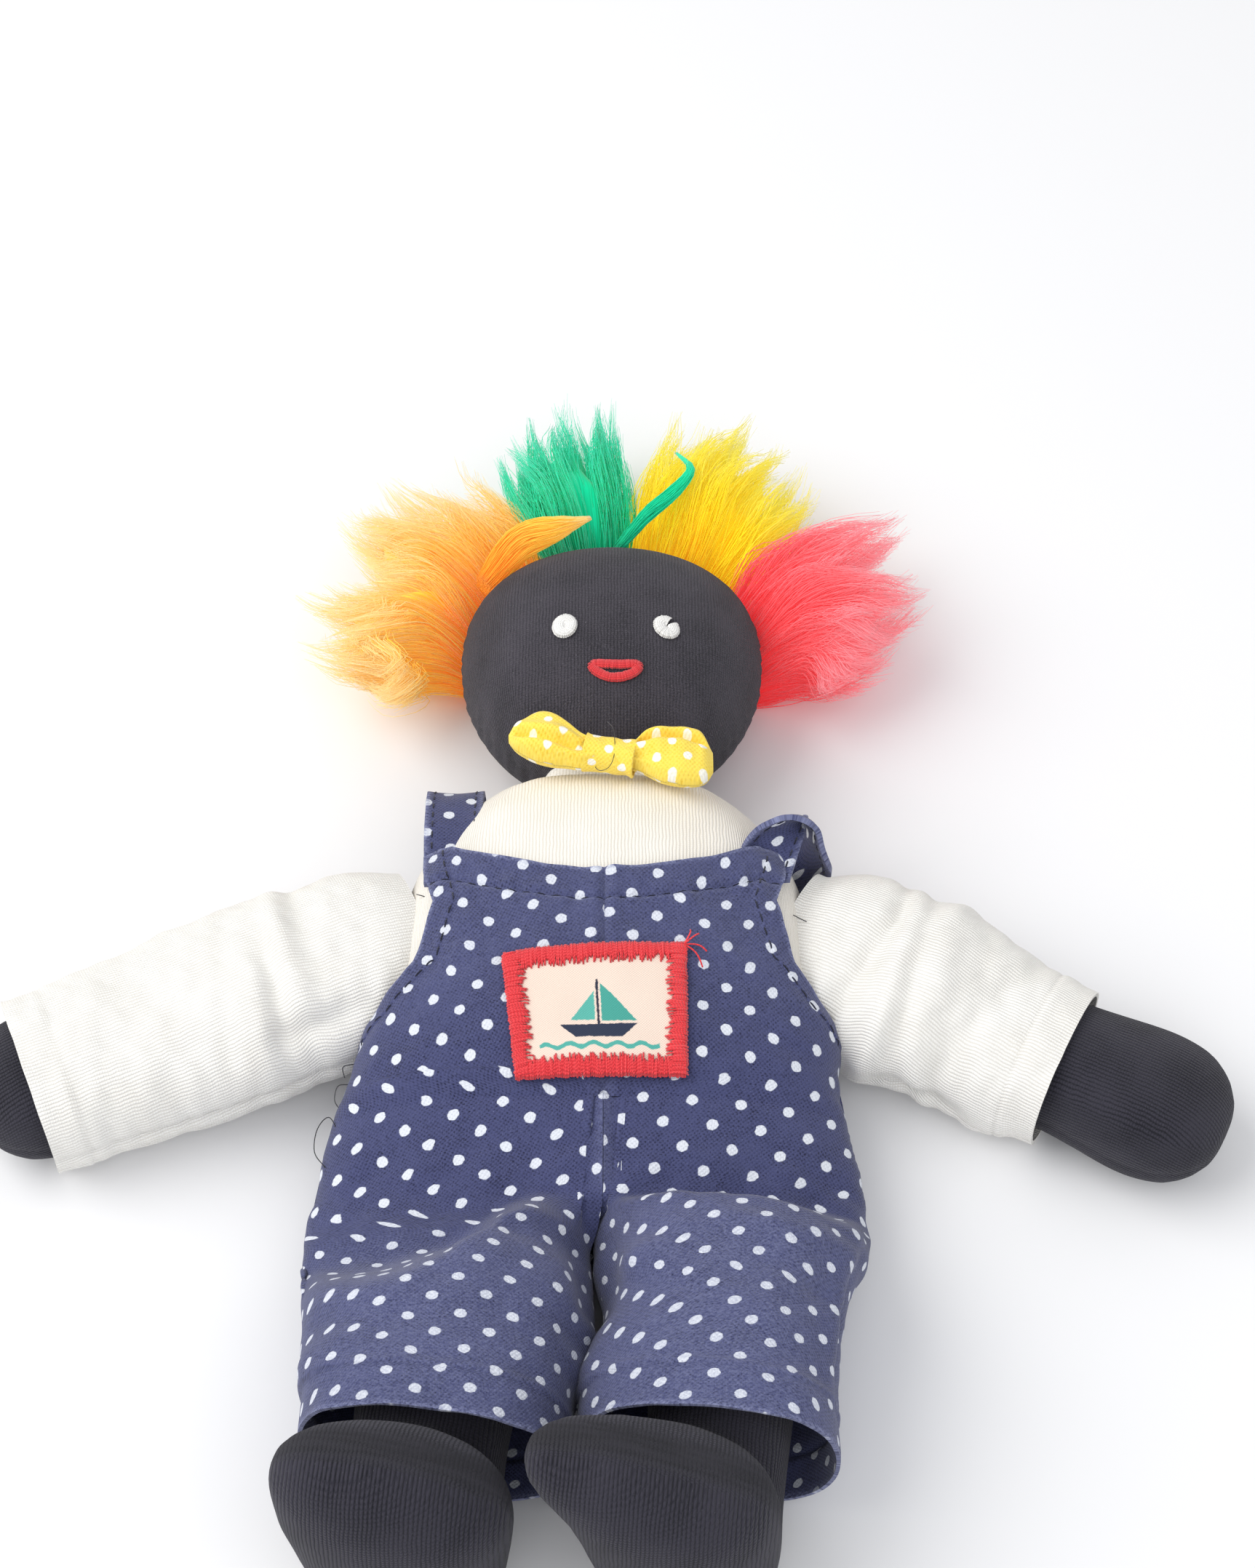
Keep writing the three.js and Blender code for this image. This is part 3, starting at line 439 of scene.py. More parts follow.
def join_strands(name, strands, material, cloth=None):
    """One mesh from many strands. Without cloth, a strand's number and length stand for its places."""
    points, faces, places, offset = [], [], [], 0
    for number, (ring, ring_faces) in enumerate(strands):
        points.append(ring)
        faces.extend(tuple(index + offset for index in face) for face in ring_faces)
        if cloth is None:
            along = np.linspace(0.0, 1.0, len(ring))
            places.append(np.stack([np.full(len(ring), float(number)), along, along], axis=-1))
        else:
            places.append(cloth[number])
        offset += len(ring)
    return add_mesh(name, np.concatenate(points), faces, material, np.concatenate(places))


# Materials

class Paint:
    """A node material, with short calls for the nodes that it is made of."""

    def __init__(self, name, roughness, sheen=0.0, sheen_roughness=0.5):
        self.material = bpy.data.materials.new(name)
        self.material.use_nodes = True
        self.tree = self.material.node_tree
        self.shader = self.tree.nodes["Principled BSDF"]
        self.shader.inputs["Roughness"].default_value = roughness
        self.shader.inputs["Sheen Weight"].default_value = sheen
        self.shader.inputs["Sheen Roughness"].default_value = sheen_roughness
        self.shader.inputs["Specular IOR Level"].default_value = 0.2

    def link(self, source, target):
        self.tree.links.new(source, target)

    def node(self, kind, inputs=None, **settings):
        node = self.tree.nodes.new("ShaderNode" + kind)
        for key, value in settings.items():
            setattr(node, key, value)
        for key, value in (inputs or {}).items():
            if isinstance(value, bpy.types.NodeSocket):
                self.link(value, node.inputs[key])
            else:
                node.inputs[key].default_value = value
        return node

    def math(self, operation, a, b=0.0, c=0.0):
        return self.node("Math", {0: a, 1: b, 2: c}, operation=operation).outputs[0]

    def times(self, a, b):
        return self.math("MULTIPLY", a, b)

    def plus(self, a, b):
        return self.math("ADD", a, b)

    def minus(self, a, b):
        return self.math("SUBTRACT", a, b)

    def times_plus(self, a, b, c):
        return self.math("MULTIPLY_ADD", a, b, c)

    def least(self, a, b):
        return self.math("MINIMUM", a, b)

    def size(self, a):
        return self.math("ABSOLUTE", a)

    def attribute(self, name, output="Vector"):
        return self.node("Attribute", attribute_name=name).outputs[output]

    def parts(self, vector):
        node = self.node("SeparateXYZ", {0: vector})
        return node.outputs[0], node.outputs[1], node.outputs[2]

    def join(self, x, y):
        return self.node("CombineXYZ", {0: x, 1: y}).outputs[0]

    def noise(self, vector, scale, detail=2.0, roughness=0.5):
        inputs = {"Vector": vector, "Scale": scale, "Detail": detail, "Roughness": roughness}
        return self.node("TexNoise", inputs).outputs["Fac"]

    def wave(self, value, pitch):
        return self.math("SINE", self.times(value, 2.0 * math.pi / pitch))

    def range(self, value, low, high, out_low=0.0, out_high=1.0):
        inputs = {
            "Value": value, "From Min": low, "From Max": high, "To Min": out_low, "To Max": out_high,
        }
        return self.node("MapRange", inputs, interpolation_type="SMOOTHSTEP").outputs["Result"]

    def blend(self, factor, a, b):
        node = self.tree.nodes.new("ShaderNodeMix")
        node.data_type = "RGBA"
        for key, value in ((0, factor), (6, a), (7, b)):
            if isinstance(value, bpy.types.NodeSocket):
                self.link(value, node.inputs[key])
            else:
                node.inputs[key].default_value = value
        return node.outputs[2]

    def finish(self, colour, height, distance):
        self.link(colour, self.shader.inputs["Base Color"])
        inputs = {"Height": height, "Distance": distance / mm_per_metre, "Strength": 1.0}
        self.link(self.node("Bump", inputs).outputs[0], self.shader.inputs["Normal"])
        return self.material


def colour(red, green, blue):
    return (red, green, blue, 1.0)


def knit_paint(name, dark, light, fuzz, bump_height, heather, pitch=knit_pitch, sheen=0.1, ribs=0.6):
    """Jersey: wales of small stitches along the cloth, with fluff and a little colour variation."""
    paint = Paint(name, 0.95, sheen, 0.55)
    place = paint.attribute("cloth")
    u, v, _ = paint.parts(place)
    sway = paint.times(paint.minus(paint.noise(place, 0.35, 1.0), 0.5), pitch * 0.7)
    wale = paint.size(paint.wave(paint.plus(u, sway), pitch * 2.0))
    slant = paint.times(wale, pitch * 0.35)
    course = paint.size(paint.wave(paint.plus(v, slant), pitch * 1.5))
    stitch = paint.times(wale, paint.times_plus(course, 0.45, 0.55))
    fluff = paint.noise(place, 3.2, 3.0, 0.7)
    broad = paint.noise(place, 0.09, 2.0)
    specks = paint.range(paint.noise(place, 5.5, 2.0, 0.8), 0.62, 0.78)
    patches = paint.range(fluff, 0.3, 0.7)
    mottled = paint.times_plus(patches, 0.6 - ribs, paint.times(broad, 0.55))
    tone = paint.times_plus(stitch, ribs, mottled)
    base = paint.blend(paint.range(tone, 0.24, 0.80), dark, light)
    base = paint.blend(paint.times(specks, heather), base, fuzz)
    height = paint.times_plus(fluff, 0.5, stitch)
    return paint.finish(base, height, bump_height)


def woven_paint(name, dark, light, dot, pitch, radius, paling):
    """Plain-woven cotton with printed dots, paler where it is worn and where light is painted on it."""
    paint = Paint(name, 0.9, 0.2)
    place = paint.attribute("cloth")
    u, v, _ = paint.parts(place)
    slub_u = paint.noise(paint.join(paint.times(u, 0.35), paint.times(v, 4.5)), 1.0, 2.0)
    slub_v = paint.noise(paint.join(paint.times(u, 4.5), paint.times(v, 0.35)), 1.0, 2.0)
    weave = paint.times(paint.wave(u, weave_pitch * 2.0), paint.wave(v, weave_pitch * 2.0))
    over = paint.times_plus(weave, 0.5, 0.5)
    broad = paint.noise(place, 0.08, 3.0)
    tone = paint.plus(paint.times(over, 0.35), paint.times(broad, 0.35))
    tone = paint.plus(tone, paint.times(paint.plus(slub_u, slub_v), 0.5))
    tone = paint.times_plus(paint.noise(place, 1.5, 3.0, 0.7), 0.5, tone)
    base = paint.blend(paint.range(tone, 0.68, 1.2), dark, light)
    rough_edge = paint.times(paint.minus(paint.noise(place, 1.1, 3.0), 0.5), radius * 0.5)
    dots = paint.plus(dot_distance(paint, u, v, pitch), rough_edge)
    inside = paint.range(dots, radius + 0.08, radius - 0.12)
    thin = paint.times(inside, paint.range(over, -0.4, 0.5, 0.7, 1.0))
    base = paint.blend(thin, base, dot)
    # This mask paints the cloth paler both where it is worn and where light is painted on it
    wear_and_light = paint.attribute("wear_and_light", "Fac")
    scuff_and_light_mask = paint.times(wear_and_light, paint.range(paint.noise(place, 1.6, 3.0, 0.7), 0.3, 0.7))
    base = paint.blend(scuff_and_light_mask, base, paling)
    flecks = paint.range(paint.noise(paint.join(paint.times(u, 1.2), v), 2.6, 3.0, 0.75), 0.56, 0.74)
    base = paint.blend(paint.times(flecks, 0.42), base, paling)
    height = paint.plus(over, paint.plus(slub_u, slub_v))
    return paint.finish(base, height, 0.09)


def dot_distance(paint, u, v, pitch):
    """The distance to the nearest dot of a square lattice with a dot in the middle of each square."""
    found = []
    for shift in (0.0, 0.5):
        offsets = []
        for value in (u, v):
            cell = paint.math("FRACT", paint.times_plus(value, 1.0 / pitch, 64.0 + shift))
            offsets.append(paint.times(paint.minus(cell, 0.5), pitch))
        square = paint.times(offsets[0], offsets[0])
        found.append(paint.math("SQRT", paint.times_plus(offsets[1], offsets[1], square)))
    return paint.least(found[0], found[1])


def thread_paint(name, dark, light, sheen=0.25):
    """Thread: each strand has its own shade, and twisted plies."""
    paint = Paint(name, 0.6, sheen)
    number, along, _ = paint.parts(paint.attribute("cloth"))
    shade = paint.noise(paint.join(paint.times(number, 0.73), 0.0), 1.0, 0.0)
    ply = paint.wave(along, 0.14)
    tone = paint.times_plus(ply, 0.12, shade)
    base = paint.blend(paint.range(tone, 0.25, 0.75), dark, light)
    return paint.finish(base, ply, 0.05)


def wool_paint(name, root, middle, tip, glow):
    """Combed wool, deep at the root and light at the tip. The glow stands for light scattered in it."""
    paint = Paint(name, 0.8, 0.4, 0.4)
    number, along, _ = paint.parts(paint.attribute("cloth"))
    shade = paint.noise(paint.join(paint.times(number, 0.61), 0.0), 1.0, 0.0)
    where = paint.times_plus(paint.minus(shade, 0.5), 0.9, along)
    base = paint.blend(paint.range(where, 0.0, 0.45), root, middle)
    base = paint.blend(paint.range(where, 0.45, 1.0), base, tip)
    paint.link(base, paint.shader.inputs["Emission Color"])
    paint.shader.inputs["Emission Strength"].default_value = glow
    return paint.finish(base, shade, 0.02)


cream_knit = knit_paint(
    "cream_jersey", colour(0.76, 0.71, 0.62), colour(0.91, 0.87, 0.80), colour(0.94, 0.92, 0.88),
    bump_height=0.11, heather=0.3, sheen=0.15,
)
sleeve_knit = knit_paint(
    "sleeve_jersey", colour(0.82, 0.79, 0.73), colour(0.95, 0.935, 0.895), colour(0.96, 0.955, 0.935),
    bump_height=0.18, heather=0.3, pitch=0.66, sheen=0.15,
)
head_knit = knit_paint(
    "head_jersey", colour(0.020, 0.019, 0.024), colour(0.062, 0.056, 0.070), colour(0.30, 0.29, 0.31),
    bump_height=0.18, heather=0.85, pitch=0.66, ribs=0.26,
)
limb_knit = knit_paint(
    "limb_jersey", colour(0.008, 0.008, 0.013), colour(0.040, 0.038, 0.053), colour(0.16, 0.16, 0.18),
    bump_height=0.2, heather=0.55, pitch=0.7, ribs=0.42,
)
# The last colour is the pale one for worn cloth, also used for painted light
navy_cotton = woven_paint(
    "navy_dotted_cotton", colour(0.007, 0.008, 0.028), colour(0.062, 0.070, 0.168),
    colour(0.72, 0.75, 0.82), dot_pitch, dot_radius, colour(0.23, 0.25, 0.41),
)
yellow_cotton = woven_paint(
    "yellow_dotted_cotton", colour(0.86, 0.55, 0.03), colour(0.98, 0.74, 0.11),
    colour(0.95, 0.93, 0.84), bow_dot_pitch, bow_dot_radius, colour(0.96, 0.88, 0.45),
)
navy_thread = thread_paint("navy_thread", colour(0.006, 0.007, 0.02), colour(0.02, 0.023, 0.055))
red_thread = thread_paint("red_thread", colour(0.66, 0.02, 0.03), colour(0.93, 0.075, 0.085), sheen=0.3)
white_thread = thread_paint("white_thread", colour(0.84, 0.83, 0.80), colour(0.96, 0.95, 0.93))
grey_thread = thread_paint("grey_thread", colour(0.015, 0.015, 0.02), colour(0.05, 0.05, 0.055))


# Stuffed forms

def form_rings(
    rows, form_length, half_width, half_depth, middle, count, columns, rise=0.0, lean=0.0
):
    """Rings of a stuffed form along +X. A row is along, wide, deep, rise, slope and lean, as shares."""
    table = np.array([list(row) + [0.0] * (6 - len(row)) for row in rows])
    knots = np.linspace(0.0, 1.0, len(table))
    fine = smooth(np.column_stack([knots, table]), np.linspace(0.0, 1.0, count))
    along, wide, deep, high, slope, side = fine.T
    angle = (np.arange(columns) + 0.5) / columns * 2.0 * math.pi
    across, up = rounded(
        half_width * wide[:, None], half_depth * deep[:, None], angle[None], form_roundness
    )
    tilt = np.radians(slope)[:, None]
    x = form_length * along[:, None] - up * np.sin(tilt)
    z = middle + rise * high[:, None] + up * np.cos(tilt)
    return np.stack([x, across + lean * side[:, None], z], axis=-1)


def with_ends(rings):
    """The points of some rings, and the middles of the first and the last."""
    return np.concatenate([rings.reshape(-1, 3), rings[:1].mean(axis=1), rings[-1:].mean(axis=1)])


def closed_loft(name, rings, material):
    rows, columns = rings.shape[:2]
    points = with_ends(rings)
    faces = grid_faces(rows, columns, wrap=True)
    last = (rows - 1) * columns
    for k in range(columns):
        n = (k + 1) % columns
        faces.append((n, k, rows * columns))
        faces.append((last + k, last + n, rows * columns + 1))
    return add_mesh(name, points, faces, material)


sim_scale = 10.0
sim_frames = 14
stuffing_pressure = 3.0
skin_stiffness = 40.0


def stuff(obj, cap, voxel=2.6, pinned=None):
    """Fills a form like a cushion: a cloth simulation presses the skin out, by no more than the cap."""
    add_modifier(obj, "REMESH", "remesh", mode="VOXEL", voxel_size=voxel / mm_per_metre)
    baked(obj)
    start = mesh_points(obj)
    swollen = simulate(obj, start, pinned)
    move = swollen - start
    reach = np.linalg.norm(move, axis=1, keepdims=True)
    start = start + move * np.minimum(1.0, cap / np.maximum(reach, 1e-9))
    set_points(obj, start)
    add_modifier(obj, "SUBSURF", "fine", levels=1, render_levels=1)
    baked(obj)
    obj.data.shade_smooth()


def simulate(obj, start, pinned):
    """Where the points of a skin go when it is filled. The cloth is simulated at a larger scale."""
    set_points(obj, start * sim_scale)
    modifier = add_modifier(obj, "CLOTH", "stuffing")
    settings = modifier.settings
    settings.use_pressure = True
    settings.uniform_pressure_force = stuffing_pressure
    settings.effector_weights.gravity = 0.0
    settings.tension_stiffness = skin_stiffness
    settings.compression_stiffness = skin_stiffness
    settings.bending_stiffness = 2.0
    if pinned is not None:
        group = obj.vertex_groups.new(name="seam")
        group.add([int(i) for i in np.nonzero(pinned(start))[0]], 1.0, "REPLACE")
        settings.vertex_group_mass = "seam"
    scene = bpy.context.scene
    for number in range(1, sim_frames + 1):
        scene.frame_set(number)
    graph = bpy.context.evaluated_depsgraph_get()
    mesh = obj.evaluated_get(graph).to_mesh()
    values = np.zeros(len(mesh.vertices) * 3)
    mesh.vertices.foreach_get("co", values)
    obj.evaluated_get(graph).to_mesh_clear()
    obj.modifiers.remove(modifier)
    obj.vertex_groups.clear()
    scene.frame_set(1)
    return values.reshape(-1, 3) * mm_per_metre / sim_scale


torso_shares = [
    (0.0, 0.62, 0.26, 0.65), (0.045, 0.86, 0.58, 0.67), (0.14, 0.955, 0.77, 0.775),
    (0.3, 1.0, 0.89, 0.863), (0.45, 0.985, 0.955, 0.93), (0.6, 0.96, 0.99, 0.965),
    (0.7, 0.935, 1.0, 0.973), (0.8, 0.86, 0.965, 0.973), (0.88, 0.77, 0.91, 0.973),
    (0.95, 0.63, 0.84, 0.973), (0.99, 0.46, 0.7, 0.973), (1.0, 0.3, 0.5, 0.973),
]


def torso_size(y):
    """The torso's half width, half depth and middle at a place along the body."""
    shares = smooth(torso_shares, (np.asarray(y, float) - torso_low_y) / (torso_high_y - torso_low_y))
    return (
        shares[..., 0] * torso_half_width,
        shares[..., 1] * torso_half_depth,
        shares[..., 2] * torso_half_depth,
    )


def make_torso():
    y = torso_low_y + (torso_high_y - torso_low_y) * (1.0 - np.cos(np.linspace(0.0, math.pi, 44))) / 2.0
    angle = (np.arange(64) + 0.5) / 64 * 2.0 * math.pi
    half_width, half_depth, middle = torso_size(y)
    x, up = rounded(half_width[:, None], half_depth[:, None], angle[None])
    z = np.maximum(middle[:, None] + up, np.where(y < back_top, cloth_ease, 0.2)[:, None])
    torso = closed_loft("torso_body", np.stack([x, y[:, None] + 0.0 * x, z], axis=-1), cream_knit)
    stuff(torso, 0.8)
    points = mesh_points(torso)
    points[:, 2] = np.maximum(points[:, 2], np.where(points[:, 1] < back_top, cloth_ease - 0.3, 0.1))
    set_points(torso, points)
    around = around_form(points[:, 0], points[:, 2], torso_middle)
    set_cloth(torso, np.stack([around, points[:, 1], points[:, 2]], axis=-1))
    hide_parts("torso_cover", "torso_stuffing")
    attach(torso, "torso")


def around_form(across, z, middle):
    """The distance round a stuffed form from its front, so that the knit keeps its scale."""
    turn = np.arctan2(np.abs(across), z - middle)
    radius = np.hypot(across, z - middle)
    return np.sign(across) * radius * np.where(turn < 1.0, np.sin(turn), turn - 1.0 + math.sin(1.0))


head_shares = [
    (0.0, 0.3, 0.32), (0.03, 0.49, 0.5), (0.12, 0.71, 0.73), (0.26, 0.885, 0.91), (0.42, 0.985, 1.0),
    (0.57, 1.0, 1.0), (0.72, 0.945, 0.94), (0.84, 0.815, 0.8), (0.93, 0.61, 0.6), (0.98, 0.37, 0.36),
    (1.0, 0.2, 0.2),
]


def head_height(x, y):
    """The height of the face above the surface that the doll lies on."""
    shares = smooth(head_shares, (np.asarray(y, float) - chin_y) / head_length)
    off = (np.asarray(x, float) - head_lean) / (head_half_width * shares[..., 0])
    share = (1.0 - np.clip(np.abs(off), 0.0, 1.0) ** form_roundness) ** (1.0 / form_roundness)
    return head_middle + head_half_depth * shares[..., 1] * share


def make_head():
    rings = form_rings(head_shares, head_length, head_half_width, head_half_depth, head_middle, 44, 64)
    head = closed_loft("head_body", turned(rings, 90.0, (head_lean, chin_y)), head_knit)
    stuff(head, 0.7, pinned=lambda p: np.abs(p[:, 2] - head_middle) < 1.6)
    points = mesh_points(head)
    centre = np.array([head_lean, chin_y + head_length / 2, head_middle])
    rim = bump(points[:, 2], head_middle, 0.9)
    out = points - centre
    out[:, 2] = 0.0
    distance = np.linalg.norm(out, axis=1, keepdims=True)
    around = np.arctan2(out[:, 1], out[:, 0]) * head_half_width
    pucker = 0.25 * np.sin(2.0 * math.pi * around / 3.6) * bump(points[:, 2], head_middle, 4.0)
    points -= out / np.maximum(distance, 1.0) * (0.55 * rim + pucker * (distance[:, 0] > 15.0))[:, None]
    points[:, 2] = np.maximum(points[:, 2], 0.1)
    set_points(head, points)
    around = around_form(points[:, 0] - head_lean, points[:, 2], head_middle)
    set_cloth(head, np.stack([around, points[:, 1], 0.4 * points[:, 2]], axis=-1))
    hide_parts("head_cover", "head_stuffing")
    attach(head, "head")


def make_knot(name, place, radius, body, node):
    """A gathered, softly stuffed knot of cloth at a joint."""
    rows, columns, pleats = 18, 48, 16.0
    angle = np.linspace(0.0, math.pi, rows)[1:-1]
    heading = np.arange(columns) / columns * 2.0 * math.pi
    pleat = 1.0 - 0.035 * (1.0 + np.cos(heading * pleats))
    r = radius * 0.98 * np.sin(angle)[:, None] * pleat[None]
    x = place[0] - radius * 0.98 * np.cos(angle)[:, None] + 0.0 * r
    y, z = place[1] + r * np.cos(heading)[None], place[2] + r * np.sin(heading)[None]
    obj = closed_loft(name, np.stack([x, y, z], axis=-1), limb_knit)
    add_modifier(obj, "SUBSURF", "fine", levels=1, render_levels=1)
    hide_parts(node)
    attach(obj, body)


def make_neck():
    """The gathered cloth between the body and the head, wider than it is long."""
    angle = np.linspace(0.0, math.pi, 26)[1:-1]
    heading = np.arange(96) / 96 * 2.0 * math.pi
    wide, long, deep = 1.5 * neck_radius, neck_radius, 1.16 * neck_radius
    pleat = 1.0 - 0.02 * (1.0 + np.cos(heading[None] * 26.0))
    x = neck_place[0] - wide * np.cos(angle)[:, None] + 0.0 * heading[None]
    y = neck_place[1] + long * np.sin(angle)[:, None] * np.cos(heading)[None] * pleat
    z = neck_place[2] + deep * np.sin(angle)[:, None] * np.sin(heading)[None] * pleat
    neck = closed_loft("neck_knot", np.stack([x, y, z], axis=-1), cream_knit)
    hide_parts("neck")
    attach(neck, "neck")


arm_shares = [
    (0.06, 0.42, 0.5), (0.1, 0.56, 0.68), (0.17, 0.76, 0.86), (0.34, 0.84, 0.92), (0.62, 0.9, 0.95),
    (0.8, 1.0, 1.0), (0.9, 0.93, 0.92), (0.965, 0.68, 0.66), (1.0, 0.34, 0.32),
]


def arm_heading(side, sign):
    """The way that the arm points, in degrees from +X."""
    return -arm_droop[side] if sign > 0 else 180.0 + arm_droop[side]


def make_arm(side, sign):
    rings = form_rings(arm_shares, arm_length, arm_half_width, arm_half_depth, arm_middle, 40, 40)
    lift = 1.0 - ease(0.0, arm_length * 0.5, rings[..., 0])
    rings[..., 2] += (shoulder_place[2] - arm_middle) * lift
    floor = np.where(rings[..., 0] < sleeve_reach[side] + 2.0, 1.2, 0.2)
    rings[..., 2] = np.maximum(rings[..., 2], floor)
    arm = closed_loft(f"arm_{side}", rings, limb_knit)
    stuff(arm, 0.5, voxel=2.0)
    points = mesh_points(arm)
    seam = bump(points[:, 2], 12.0, 0.7) * (points[:, 0] > 20.0)
    points[:, 1] -= np.sign(points[:, 1]) * 0.45 * seam
    points[:, 2] = np.maximum(points[:, 2], np.where(points[:, 0] < sleeve_reach[side] + 2.0, 1.1, 0.1))
    around = around_form(points[:, 1], points[:, 2], arm_middle)
    set_cloth(arm, np.stack([around, points[:, 0], points[:, 2]], axis=-1))
    place = (sign * shoulder_place[0], shoulder_place[1], shoulder_place[2])
    set_points(arm, turned(points, arm_heading(side, sign), place))
    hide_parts(f"arm_cover_{side}", f"arm_stuffing_{side}")
    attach(arm, f"arm_{side}")
    make_knot(
        f"shoulder_knot_{side}", place, shoulder_radius, f"shoulder_{side}", f"shoulder_gather_{side}"
    )


leg_shares = [
    (0.065, 0.42, 0.5), (0.12, 0.56, 0.54), (0.21, 0.7, 0.56), (0.36, 0.74, 0.58), (0.5, 0.76, 0.8),
    (0.62, 0.75, 0.92), (0.76, 0.72, 0.92), (0.9, 0.76, 0.95, -0.06, 20.0, 0.1),
    (1.0, 0.88, 1.14, -0.03, 45.0, 0.3), (1.01, 1.0, 0.92, 0.42, 75.0, 0.6),
    (1.015, 0.95, 0.84, 0.66, 88.0, 0.85), (1.01, 0.7, 0.6, 0.88, 92.0, 1.0),
    (1.005, 0.34, 0.3, 1.0, 92.0, 1.05),
]
foot_width_shares = {"left": 0.93, "right": 1.05}
foot_peak = {"left": -14.5, "right": -8.0}


def make_leg(side, sign):
    origin = (sign * hip_place[0], hip_place[1])
    half_width = leg_half_width * foot_width_shares[side]
    rings = form_rings(
        leg_shares, leg_length, half_width, leg_half_depth, leg_middle, 60, 48, toe_rise, -toe_lean[side]
    )
    foot = rings[..., 0] > leg_length * 0.8
    rings[..., 1] += foot_peak[side] * ease(34.0, 52.0, rings[..., 2]) * foot
    rings[..., 2] = np.maximum(rings[..., 2], 0.2)
    leg = closed_loft(f"leg_{side}", rings, limb_knit)
    stuff(leg, 0.6, voxel=2.2)
    points = mesh_points(leg)
    points[:, 2] = np.maximum(points[:, 2], 0.1)
    sole = ease(leg_length - 6.0, leg_length + 2.0, points[:, 0])
    along = mix(points[:, 0], leg_length + points[:, 2], sole)
    around = mix(around_form(points[:, 1], points[:, 2], leg_middle), points[:, 1], sole)
    set_cloth(leg, np.stack([around, along, points[:, 2] * (1.0 - sole)], axis=-1))
    set_points(leg, turned(points, -90.0 - leg_drift, origin))
    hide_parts(f"leg_cover_{side}", f"leg_stuffing_{side}")
    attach(leg, f"leg_{side}")
    place = (*origin, hip_place[2])
    make_knot(f"hip_knot_{side}", place, hip_radius, f"hip_{side}", f"hip_gather_{side}")


# Embroidery

def satin(line, width, height_at, pitch, radius, arch, ragged, seed, closed):
    """Satin stitch: threads laid side by side across a line, each arched over the cloth."""
    random = np.random.default_rng(seed)
    line = np.concatenate([line, line[:1]]) if closed else line
    steps = np.linalg.norm(np.diff(line, axis=0), axis=1)
    total = steps.sum()
    place = np.concatenate([[0.0], np.cumsum(steps)])
    strands = []
    for at in np.arange(0.0, total, pitch):
        x, y = (np.interp(at, place, line[:, k]) for k in (0, 1))
        behind, ahead = max(at - 0.15, 0.0), min(at + 0.15, total)
        ends = [np.array([np.interp(end, place, line[:, k]) for k in (0, 1)]) for end in (behind, ahead)]
        tangent = ends[1] - ends[0]
        tangent /= max(np.linalg.norm(tangent), 1e-9)
        normal = np.array([tangent[1], -tangent[0]])
        low = -width / 2.0 - 2.0 * random.uniform(0, ragged)
        high = width / 2.0 + 0.4 * random.uniform(0, ragged)
        t = np.linspace(0.0, 1.0, 7)
        slant = random.uniform(-0.16, 0.16)
        thread = np.array([x, y]) + normal * mix(low, high, t)[:, None]
        thread = thread + tangent * (slant * (t - 0.5))[:, None]
        lift = arch * (1.0 - (2.0 * t - 1.0) ** 4) + random.uniform(-0.05, 0.05)
        z = height_at(thread[:, 0], thread[:, 1]) + lift
        strands.append(strand(np.column_stack([thread, z]), radius, 5))
    return strands


# Each eye's ring of stitches: from and to which angle, its half width and half height, and its lean
eye_rings = {"left": (38.0, 366.0, 1.4, 1.72, 28.0), "right": (0.0, 360.0, 1.35, 1.8, 0.0)}


def make_face():
    def on_head(x, y):
        return head_height(x, y) + 0.25

    face_x = head_lean + face_offset
    for side, sign in sides:
        start, end, wide, high, lean = eye_rings[side]
        around = np.radians(np.linspace(start, end, 60, endpoint=False))
        x, y, tilt = wide * np.cos(around), high * np.sin(around), math.radians(lean)
        c, d = math.cos(tilt), math.sin(tilt)
        ring = np.column_stack([x * c - y * d, x * d + y * c])
        ring += [face_x + sign * eye_spread, chin_y + eye_height]
        threads = satin(ring, eye_stitch, on_head, 0.2, 0.19, 0.6, 0.2, 5, end - start >= 360.0)
        eye = join_strands(f"eye_{side}_stitches", threads, white_thread)
        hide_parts(f"eye_{side}")
        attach(eye, "head")
    angle = np.linspace(0.0, 2.0 * math.pi, 60, endpoint=False)
    x = mouth_half_width * np.cos(angle)
    y = mouth_half_height * np.sin(angle) + 0.55 * np.cos(2.0 * angle)
    line = np.column_stack([x + face_x, y + chin_y + mouth_height])
    threads = satin(line, mouth_stitch, on_head, 0.22, 0.18, 0.6, 0.1, 7, True)
    mouth = join_strands("mouth_stitches", threads, red_thread)
    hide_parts("mouth")
    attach(mouth, "head")


# Hair

